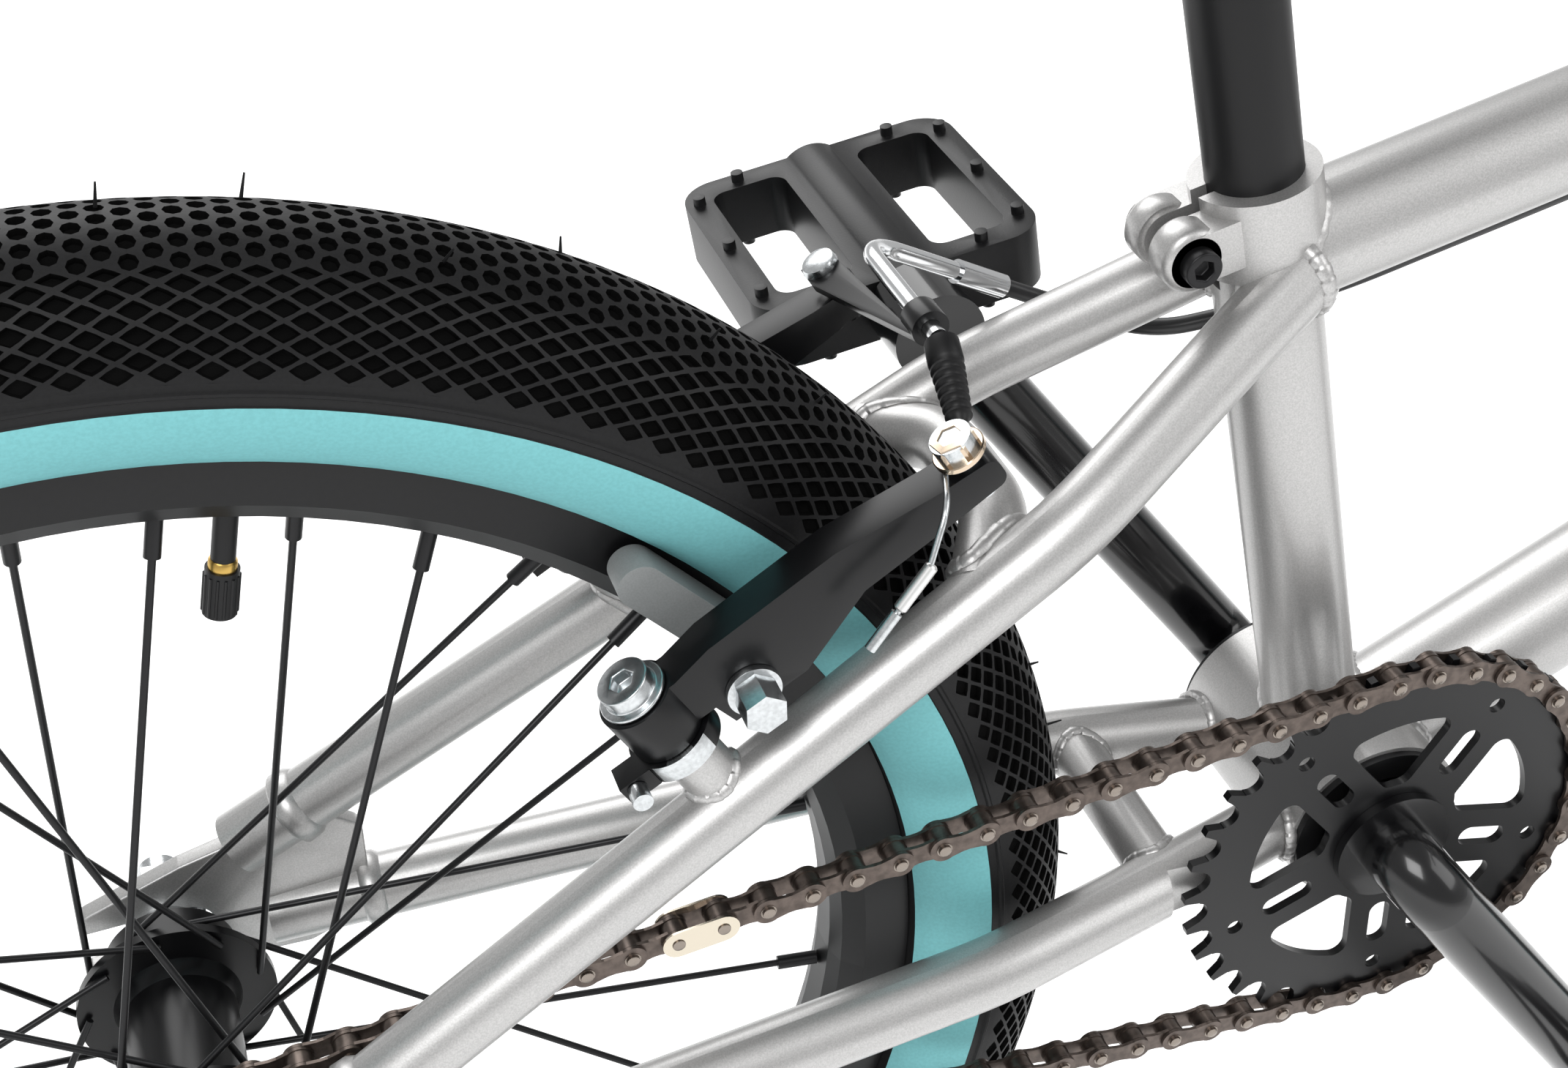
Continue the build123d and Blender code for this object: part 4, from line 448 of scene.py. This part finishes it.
# ---------------------------------------------------------------------------------------------
# Weld beads where the frame's tubes meet
# ---------------------------------------------------------------------------------------------
def weld_bead(foot, along, radius, other, other_axis, other_radius, bead=2.3):
    """Rippled bead round the end of one tube where its side lines meet another tube."""
    along, other_axis = along.normalized(), other_axis.normalized()
    first, second = square_to(along)
    count, section = 144, 8
    ripples = round(2 * pi * radius / 3.2)
    curve = []
    for step in range(count):
        turn = 2 * pi * step / count
        out = first * cos(turn) + second * sin(turn)
        start = foot + out * radius * MM - other
        flat = start - other_axis * start.dot(other_axis)
        way = along - other_axis * along.dot(other_axis)
        a, b = way.length_squared, flat.dot(way)
        c = flat.length_squared - (other_radius * MM) ** 2
        under = b * b - a * c
        reach = (-b - under**0.5) / a if under > 0 else -b / a
        curve.append((foot + out * radius * MM + along * reach, out))
    vertices, faces = [], []
    for step, (point, out) in enumerate(curve):
        before, after = curve[step - 1][0], curve[(step + 1) % count][0]
        tangent = (after - before).normalized()
        side = tangent.cross(out).normalized()
        phase = ripples * step / count % 1.0
        size = bead * MM * (0.86 + 0.22 * (1 - phase) ** 0.5)
        for corner in range(section):
            turn = 2 * pi * corner / section
            vertices.append(point + out * sin(turn) * size * 0.62 + side * cos(turn) * size)
    for step in range(count):
        for corner in range(section):
            a = step * section + corner
            b = step * section + (corner + 1) % section
            c = (step + 1) % count * section
            faces.append((a, b, c + (corner + 1) % section, c + corner))
    return vertices, faces


def frame_welds():
    """Every bead of the frame as one painted piece."""
    beads = [
        weld_bead(TOP_REAR + TOP_AXIS * 60 * MM, -TOP_AXIS, 16.0, SHELL, SEAT_AXIS, 16.0, 2.6),
        weld_bead(TOP_FRONT - TOP_AXIS * 60 * MM, TOP_AXIS, 16.0, HEAD_TOP, STEER_AXIS, 21.5),
        weld_bead(SHELL + (DOWN_FRONT - SHELL) * 0.8, DOWN_FRONT - SHELL, 19.05, HEAD_TOP, STEER_AXIS, 21.5),
        weld_bead(SHELL + (DOWN_FRONT - SHELL) * 0.2, SHELL - DOWN_FRONT, 19.05, SHELL, LEFT, 28.5, 2.6),
        weld_bead(SHELL + SEAT_AXIS * 60 * MM, -SEAT_AXIS, 14.3, SHELL, LEFT, 28.5, 2.6),
    ]
    for side in (-1, 1):
        stay_line = brake(285, side * 39, 0) - brake(34, side * 59, 0)
        chain_line = rear(223, side * 46.5, -1.5) - rear(30, side * 59, -6)
        beads += [
            weld_bead(brake(346, side * 20, 0), brake(372, side * 12.5, 0) - brake(346, side * 20, 0), 9.7,
                      SHELL, SEAT_AXIS, 14.3),
            weld_bead(rear(300, side * 31, 0), rear(340, side * 20, 0) - rear(285, side * 33.5, 0), 10.0,
                      SHELL, LEFT, 28.5),
            weld_bead(brake(271, side * 20, 1), brake(257, side * 40, 1) - brake(272, side * 18, 1), 9.0,
                      brake(285, side * 39, 0), stay_line, 11.0, 2.2),
            weld_bead(rear(284, side * 5, 0), LEFT * side, 8.5, rear(285, side * 33.5, 0),
                      rear(285, side * 33.5, 0) - rear(223, side * 46.5, -1.5), 10.0, 1.9),
            weld_bead(brake(PIVOT_STATION, side * PIVOT_SIDE, 30), -STAY_B, 7.5,
                      brake(34, side * 59, 0), stay_line, 9.7, 1.9),
        ]
        for foot, line, length in (
            (rear(30, side * 59, -6), chain_line, 31),
            (brake(34, side * 59, 0), stay_line, 22),
        ):
            start = foot + line.normalized() * (length - 4) * MM
            end = foot + line.normalized() * (length + 5) * MM
            beads.append(lathe(start, end, [
                (0, 9.0 * MM), (2 * MM, 11.6 * MM), (6 * MM, 11.2 * MM), (9 * MM, 9.2 * MM)]))
    return joined(beads)


piece("frame_welds", *frame_welds(), "frame", SILVER, flat_angle=60)


# ---------------------------------------------------------------------------------------------
# Parts with moulded or forged edges
# ---------------------------------------------------------------------------------------------
for node_name, radius, look, rides_on in (
    ("left_brake_arm", 2.8, SATIN_BLACK, "left_arm"),
    ("right_brake_arm", 2.8, SATIN_BLACK, "right_arm"),
    ("left_brake_pad", 1.2, PAD_GREY, "left_arm"),
    ("right_brake_pad", 1.2, PAD_GREY, "right_arm"),
    ("left_pedal", 1.6, PLASTIC, "left_pedal"),
    ("right_pedal", 1.6, PLASTIC, "right_pedal"),
    ("noodle_link", 0.8, SATIN_BLACK, "left_arm"),
    ("stem", 2.0, SATIN_BLACK, "fork"),
    ("stem_faceplate", 1.0, SATIN_BLACK, "fork"),
    ("brake_lever", 1.8, SATIN_BLACK, "brake_lever"),
    ("lever_bracket", 1.2, SATIN_BLACK, "fork"),
    ("dropouts", 0.8, SILVER, "frame"),
    ("brake_spring_collars", 0.8, SATIN_BLACK, "frame"),
    ("seat_clamp_bolt", 0.5, BLACK_STEEL, "frame"),
    ("brake_pivot_bolts", 0.6, ZINC, "frame"),
    ("rear_axle_nuts", 0.6, ZINC, "frame"),
):
    rounded(node_name, radius, look, rides_on)


def zinc_beyond(name, reach):
    """Zinc finish on the faces of a piece that lie further out from the centre plane than a reach."""
    mesh = bpy.data.objects[name].data
    mesh.materials.append(ZINC)
    for face in mesh.polygons:
        if abs(face.center.y) > reach * MM:
            face.material_index = 1


for name, reach in (("left_brake_pad_rounded", 50.4), ("right_brake_pad_rounded", 50.4),
                    ("brake_spring_collars_rounded", 53.4)):
    zinc_beyond(name, reach)


# ---------------------------------------------------------------------------------------------
# Brake cable, boot and small bright parts
# ---------------------------------------------------------------------------------------------
BAR_POINT = HEAD_TOP + STEER_AXIS * 34 * MM + STEER_SQUARE * 48 * MM
SWEEP_BACK = tan(radians(11.0))


def bar(y, up, back=0.0):
    """Point of the handlebar, in millimetres: y to the left, up from its clamp, back to the rider."""
    return BAR_POINT + LEFT * y * MM + STEER_AXIS * up * MM - STEER_SQUARE * back * MM


RIGHT_GRIP_END = bar(-362, 218, (362 - 165) * SWEEP_BACK)
RIGHT_GRIP_AXIS = (RIGHT_GRIP_END - bar(-165, 214)).normalized()
LEVER_ROOT = RIGHT_GRIP_END - RIGHT_GRIP_AXIS * 153 * MM
LEVER_AHEAD = (STEER_SQUARE * 0.94 - STEER_AXIS * 0.34).normalized()
LEVER_AHEAD = (LEVER_AHEAD - RIGHT_GRIP_AXIS * LEVER_AHEAD.dot(RIGHT_GRIP_AXIS)).normalized()
LEVER_NORMAL = RIGHT_GRIP_AXIS.cross(LEVER_AHEAD).normalized()
HEAD_SIDE = -34.0


def lever(out, ahead, up=0.0):
    """Point near the brake lever, in millimetres along and square to the right grip."""
    return LEVER_ROOT + RIGHT_GRIP_AXIS * out * MM + LEVER_AHEAD * ahead * MM + LEVER_NORMAL * up * MM


def head(down, y, ahead):
    """Point beside the head tube, in millimetres."""
    return HEAD_TOP - STEER_AXIS * down * MM + LEFT * y * MM + STEER_SQUARE * ahead * MM


def under_top_tube(share, y=0.0, lower=0.0):
    """Point on the housing's line under the top tube."""
    return TOP_REAR + (TOP_FRONT - TOP_REAR) * share + TOP_UNDER * (19.3 + lower) * MM + LEFT * y * MM


NOODLE_ELBOW = brake(NOODLE_STATION, 46, NOODLE_HEIGHT)
NOODLE_END = brake(311, 53.5, 4)
NOODLE_HEADING = (NOODLE_END - NOODLE_ELBOW).normalized()
HOUSING_ROUTE = [
    lever(-34.4, 27), lever(-74, 29), lever(-116, 41, -6), bar(-66, 176, -66), bar(-44, 122, -72),
    bar(-41, 66, -64), bar(-43, 14, -46), head(2, HEAD_SIDE, 46), head(58, HEAD_SIDE, 24),
    head(72, HEAD_SIDE + 2, -32), under_top_tube(0.87, -9, 5), under_top_tube(0.76), under_top_tube(0.14),
    rear(374, 3, 177), rear(346, 12, 164), rear(322, 22, 156), rear(302, 31, 150), brake(323, 51.5, -14),
    NOODLE_END + NOODLE_HEADING * 0.9 * MM,
]


def tube_mesh(name, route, radius):
    """Smooth tube along one NURBS line with the route's points as its control points."""
    curve = bpy.data.curves.new(name + "_line", "CURVE")
    curve.dimensions = "3D"
    curve.resolution_u = 10
    curve.bevel_depth = radius
    curve.bevel_resolution = 4
    curve.use_fill_caps = True
    line = curve.splines.new("NURBS")
    line.points.add(len(route) - 1)
    for point, place in zip(line.points, route):
        point.co = (*place, 1)
    line.order_u = 3
    line.use_endpoint_u = True
    holder = bpy.data.objects.new(name + "_line", curve)
    bpy.context.scene.collection.objects.link(holder)
    bpy.context.view_layer.update()
    mesh = bpy.data.meshes.new_from_object(holder.evaluated_get(bpy.context.evaluated_depsgraph_get()))
    bpy.data.objects.remove(holder)
    return mesh


HOUSING_RADIUS = 2.5 * MM
housing_mesh = tube_mesh("housing", HOUSING_ROUTE, HOUSING_RADIUS)
housing = place_piece("brake_housing_lead", housing_mesh, None, [HOUSING], 60)
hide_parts("brake_housing")
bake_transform(housing)


def brake_boot():
    """Rubber boot between the noodle's tip and the anchor: a smooth head and shrinking ribs."""
    start, end = brake(NOODLE_STATION, -10.6, NOODLE_HEIGHT), brake(276.1, -37.5, 45.9)
    length = (end - start).length
    outline = [(0, 3.4), (0.7, 4.5), (7.2, 4.6), (8.0, 3.9)]
    for rib in range(7):
        size = 4.4 - 0.16 * rib
        at = 8.5 + rib * 2.45
        outline += [(at, size - 0.9), (at + 0.6, size), (at + 1.3, size), (at + 1.8, size - 0.9)]
    outline += [(26.0, 2.2), (27.0, 1.5)]
    boot = lathe(start, end, [(d * MM, r * MM) for d, r in outline], 28)
    wire = lathe(start, end, [(25 * MM, 0.8 * MM), (length, 0.8 * MM)], 12)
    thing = piece("brake_boot_ribbed", *boot, "right_arm", SOFT_RUBBER, flat_angle=50)
    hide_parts("cable_boot")
    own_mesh(thing)
    piece("brake_wire_bare", *wire, "right_arm", ZINC)


brake_boot()


def anchor_hardware():
    """Cap and washer of the anchor bolt, the crimp on the wire's end and the head of the link's pin."""
    stack = brake(ANCHOR_STATION, -PIVOT_SIDE, 47.0)
    top = brake(ANCHOR_STATION, -PIVOT_SIDE, 60)
    washer = lathe(stack, top, [
        (0, 6.6 * MM), (0.2 * MM, 6.8 * MM), (1.4 * MM, 6.8 * MM), (1.6 * MM, 6.5 * MM)], 40)
    nut = lathe(stack, top, [
        (1.6 * MM, 5.8 * MM), (5.2 * MM, 5.8 * MM), (6.2 * MM, 5.1 * MM), (6.3 * MM, 3.2 * MM),
        (4.2 * MM, 2.9 * MM)], 6)
    piece("cable_anchor_cap", *joined([washer, nut]), "right_arm", WARM_STEEL, flat_angle=25)
    crimp = lathe(brake(252.0, -61.9, 38.5), brake(236.6, -63, 33),
                  [(0, 1.2 * MM), (0.5 * MM, 1.7 * MM), (13 * MM, 1.7 * MM), (13.5 * MM, 1.2 * MM)], 10)
    piece("cable_end_crimp", *crimp, "right_arm", CRIMP)
    pin = lathe(brake(ANCHOR_STATION, PIVOT_SIDE, 51.6), brake(ANCHOR_STATION, PIVOT_SIDE, 60),
                [(0, 5.0 * MM), (0.8 * MM, 5.2 * MM), (2.4 * MM, 4.6 * MM), (3.0 * MM, 3.0 * MM)], 32)
    piece("link_pin_head", *pin, "left_arm", ZINC)


anchor_hardware()


def clamp_lugs():
    """Rounded lugs of the seat clamp, round the ends of its bolt."""
    low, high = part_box("seat_clamp_bolt")
    bolt = (low + high) / 2
    lugs = []
    for side, near, far in ((-1, 3.0, 13.0), (1, 3.0, 11.5)):
        start = Vector((bolt.x, side * near * MM, bolt.z))
        end = Vector((bolt.x, side * far * MM, bolt.z))
        long = (far - near) * MM
        lugs.append(lathe(start, end, [
            (0, 4.0 * MM), (0, 8.4 * MM), (1.2 * MM, 9.0 * MM), (long - 2 * MM, 9.0 * MM),
            (long - 0.6 * MM, 8.2 * MM), (long, 7.0 * MM), (long, 4.0 * MM)], 40))
    piece("seat_clamp_lugs", *joined(lugs), "frame", SILVER)


clamp_lugs()


def wheel_extras():
    """Valve brass and a cap with grip flutes, at the valve's place on each wheel."""
    for name, centre, angle, body in (
        ("rear", REAR, 82.0, "rear_wheel"),
        ("front", FRONT, 250.0, "front_wheel"),
    ):
        inward = Vector((cos(radians(angle)), 0, sin(radians(angle))))
        ring = lathe(centre + inward * 165 * MM, centre + inward * 172 * MM,
                     [(0, 3.3 * MM), (0.4 * MM, 3.5 * MM), (6 * MM, 3.5 * MM), (6.6 * MM, 3.1 * MM)], 32)
        piece(name + "_valve_brass", *ring, body, BRASS)
        flutes = []
        for step in range(14):
            turn = 2 * pi * step / 14
            first, second = square_to(inward)
            out = first * cos(turn) + second * sin(turn)
            foot = centre + inward * 156.5 * MM + out * 4.1 * MM
            flutes.append(lathe(foot, foot + inward * 11 * MM, [(0, 0.45 * MM), (11 * MM, 0.45 * MM)], 6))
        piece(name + "_valve_flutes", *joined(flutes), body, SOFT_RUBBER)


wheel_extras()


# ---------------------------------------------------------------------------------------------
# Chain: bright pin heads on every link and one nickel joining link
# ---------------------------------------------------------------------------------------------
PITCH = 12.7
LINKS = 80
RING_RADIUS = PITCH / (2 * sin(pi / 32))
COG_RADIUS = PITCH / (2 * sin(pi / 16))
RING_PITCH_LENGTH = 32 * PITCH / (2 * pi)
COG_PITCH_LENGTH = 16 * PITCH / (2 * pi)
WRAP = asin((RING_RADIUS - COG_RADIUS) / (STAY_LENGTH / MM))
STRAIGHT = STAY_LENGTH / MM * cos(WRAP)
RING_ARC = (pi + 2 * WRAP) * RING_PITCH_LENGTH
COG_ARC = (pi - 2 * WRAP) * COG_PITCH_LENGTH
PIN_BEFORE_RING = 13.84
JOINING_LINK = 64


def chain_place(distance):
    """Place on the chain's pitch line in millimetres, measured from the cog end of the top run."""
    distance %= 2 * STRAIGHT + RING_ARC + COG_ARC
    if distance < STRAIGHT:
        return (distance * cos(WRAP) - COG_RADIUS * sin(WRAP), distance * sin(WRAP) + COG_RADIUS * cos(WRAP))
    distance -= STRAIGHT
    if distance < RING_ARC:
        turn = pi / 2 + WRAP - distance / RING_PITCH_LENGTH
        return STAY_LENGTH / MM + RING_RADIUS * cos(turn), RING_RADIUS * sin(turn)
    distance -= RING_ARC
    if distance < STRAIGHT:
        return (STAY_LENGTH / MM - RING_RADIUS * sin(WRAP) - distance * cos(WRAP),
                distance * sin(WRAP) - RING_RADIUS * cos(WRAP))
    turn = -pi / 2 - WRAP - (distance - STRAIGHT) / COG_PITCH_LENGTH
    return COG_RADIUS * cos(turn), COG_RADIUS * sin(turn)


def chain_details():
    """Pin heads on both faces of the chain, and the joining link's nickel plates."""
    places = [chain_place(STRAIGHT - PIN_BEFORE_RING + index * PITCH) for index in range(LINKS)]
    heads = []
    for x, z in places:
        for side in (-1, 1):
            foot = rear(x, -42 + side * 3.7, z)
            tip = rear(x, -42 + side * 5.0, z)
            heads.append(lathe(foot, tip, [(0, 2.25 * MM), (0.28 * MM, 2.25 * MM), (0.30 * MM, 1.75 * MM),
                                           (1.0 * MM, 1.75 * MM), (1.2 * MM, 1.3 * MM)], 16))
    piece("chain_pin_heads", *joined(heads), "frame", PIN_STEEL, flat_angle=35)
    (ax, az), (bx, bz) = places[JOINING_LINK], places[(JOINING_LINK + 1) % LINKS]
    heading = atan2(bz - az, bx - ax)
    length = hypot(bx - ax, bz - az)
    outline = []
    for centre, start in ((length, -90), (0, 90)):
        for step in range(13):
            turn = radians(start + step * 15)
            outline.append((centre + 4.4 * cos(turn), 4.4 * sin(turn)))
    plates = []
    for side in (-1, 1):
        vertices = []
        for out in (3.75, 4.35):
            for x, z in outline:
                vertices.append(rear(ax + x * cos(heading) - z * sin(heading), -42 + side * out,
                                     az + x * sin(heading) + z * cos(heading)))
        count = len(outline)
        faces = [tuple(range(count)), tuple(range(count, 2 * count))]
        faces += [(i, (i + 1) % count, (i + 1) % count + count, i + count) for i in range(count)]
        plates.append((vertices, faces))
    piece("chain_joining_plates", *joined(plates), "frame", NICKEL, flat_angle=35)


chain_details()


# ---------------------------------------------------------------------------------------------
# Grips and saddle
# ---------------------------------------------------------------------------------------------
def make_grips():
    """Ribbed rubber grips with flanges and end plugs."""
    parts = []
    for side in (-1, 1):
        outer = bar(side * 362, 218, (362 - 165) * SWEEP_BACK)
        inner = bar(side * 165, 214)
        axis = (outer - inner).normalized()
        start, end = outer - axis * 135 * MM, outer + axis * 6 * MM
        outline = [(0, 11.2), (0, 23.5), (1, 24), (3, 24), (4, 22.5), (5, 15.5), (7, 14.2)]
        for rib in range(24):
            at = 9 + rib * 5.0
            outline += [(at, 13.6), (at + 0.9, 14.9), (at + 2.9, 14.9), (at + 3.8, 13.6)]
        outline += [(130, 14.2), (133, 15), (136, 15), (137, 14.2), (139.5, 13.5), (141, 11.5)]
        parts.append(lathe(start, end, [(d * MM, r * MM) for d, r in outline], 40))
    thing = piece("grips_ribbed", *joined(parts), "fork", SOFT_RUBBER, flat_angle=45)
    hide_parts("grips")


make_grips()


def make_saddle():
    """Padded cover blown up a little from the plain solid."""
    mesh = nodes["saddle_cover"].data.copy()
    thing = bpy.data.objects.new("saddle_cover_padded", mesh)
    bpy.context.scene.collection.objects.link(thing)
    low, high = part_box("saddle_cover")
    centre = (low + high) / 2
    for vertex in mesh.vertices:
        vertex.co = centre + (vertex.co - centre) * 0.955
    thing.modifiers.new("even", "REMESH").voxel_size = 5 * MM
    bpy.context.view_layer.update()
    even = bpy.data.meshes.new_from_object(thing.evaluated_get(bpy.context.evaluated_depsgraph_get()))
    thing.modifiers.clear()
    thing.data = even
    before = [vertex.co.copy() for vertex in even.vertices]
    cloth = thing.modifiers.new("cloth", "CLOTH")
    cloth.settings.use_pressure = True
    cloth.settings.uniform_pressure_force = 4.0
    cloth.settings.effector_weights.gravity = 0.0
    for step in range(1, 21):
        bpy.context.scene.frame_set(step)
    puffed = bpy.data.meshes.new_from_object(thing.evaluated_get(bpy.context.evaluated_depsgraph_get()))
    bpy.context.scene.frame_set(1)
    thing.modifiers.clear()
    floor = low.z
    for vertex, start in zip(puffed.vertices, before):
        move = vertex.co - start
        if move.length > 5 * MM:
            move = move.normalized() * 5 * MM
        vertex.co = start + move
        vertex.co.z = max(vertex.co.z, floor)
    thing.data = puffed
    smooth = thing.modifiers.new("fine", "SUBSURF")
    smooth.levels = 1
    smooth.render_levels = 1
    bpy.context.view_layer.update()
    fine = bpy.data.meshes.new_from_object(thing.evaluated_get(bpy.context.evaluated_depsgraph_get()))
    thing.modifiers.clear()
    thing.data = fine
    fine.materials.clear()
    fine.materials.append(VINYL)
    fine.shade_smooth()
    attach(thing, "saddle")
    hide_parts("saddle_cover")


make_saddle()


# ---------------------------------------------------------------------------------------------
# Floor, light and camera
# ---------------------------------------------------------------------------------------------
def make_stage():
    """Pale floor, even white surroundings and three broad lamps."""
    bpy.ops.mesh.primitive_plane_add(size=60, location=(0, 0, 0))
    floor = bpy.context.object
    floor.name = "floor"
    pale = finish("floor_white", (0.93, 0.93, 0.93), 0.9)
    floor.data.materials.append(pale)
    shader = pale.node_tree.nodes["Principled BSDF"]
    shader.inputs["Emission Color"].default_value = (1, 1, 1, 1)
    shader.inputs["Emission Strength"].default_value = 0.40
    world = bpy.data.worlds.new("studio")
    bpy.context.scene.world = world
    world.use_nodes = True
    world.node_tree.nodes["Background"].inputs["Color"].default_value = (1, 1, 1, 1)
    world.node_tree.nodes["Background"].inputs["Strength"].default_value = 0.55
    for name, place, size, power in (
        ("key", (-1.6, -1.8, 2.6), 1.6, 60),
        ("fill", (1.6, -1.2, 2.0), 1.8, 25),
        ("back", (-0.6, 2.4, 2.2), 2.0, 45),
    ):
        lamp = bpy.data.lights.new(name, "AREA")
        lamp.size = size
        lamp.energy = power
        holder = bpy.data.objects.new(name, lamp)
        bpy.context.scene.collection.objects.link(holder)
        holder.location = place
        aim = Vector((-0.3, 0, 0.4)) - Vector(place)
        holder.rotation_euler = aim.to_track_quat("-Z", "Y").to_euler()


CAMERA_PLACE = (47.4, -430.4, 465.4)
CAMERA_AZIMUTH = radians(-17.296)
CAMERA_ELEVATION = radians(36.306)
CAMERA_ROLL = radians(3.008)
CAMERA_LENS = 49.11


def in_world(x, y, z):
    """Direction given along the chain stays, to the left and square to both."""
    return REAR_ALONG * x + LEFT * y + REAR_SQUARE * z


def make_camera():
    """Close view of the rear wheel, brake and drive from behind and above the drive side."""
    camera = bpy.data.objects.new("camera", bpy.data.cameras.new("camera"))
    bpy.context.scene.collection.objects.link(camera)
    bpy.context.scene.camera = camera
    camera.data.sensor_width = 36.0
    camera.data.lens = CAMERA_LENS
    camera.data.clip_start = 0.02
    camera.data.clip_end = 100
    back = in_world(sin(CAMERA_AZIMUTH) * cos(CAMERA_ELEVATION),
                    -cos(CAMERA_AZIMUTH) * cos(CAMERA_ELEVATION), sin(CAMERA_ELEVATION))
    right = (-back).cross(REAR_SQUARE).normalized()
    down = (-back).cross(right)
    across = right * cos(CAMERA_ROLL) + down * sin(CAMERA_ROLL)
    up = right * sin(CAMERA_ROLL) - down * cos(CAMERA_ROLL)
    turn = Matrix((across, up, back)).transposed().to_4x4()
    camera.matrix_world = Matrix.Translation(rear(*CAMERA_PLACE)) @ turn


make_stage()
make_camera()
bpy.context.scene.view_settings.view_transform = "Standard"
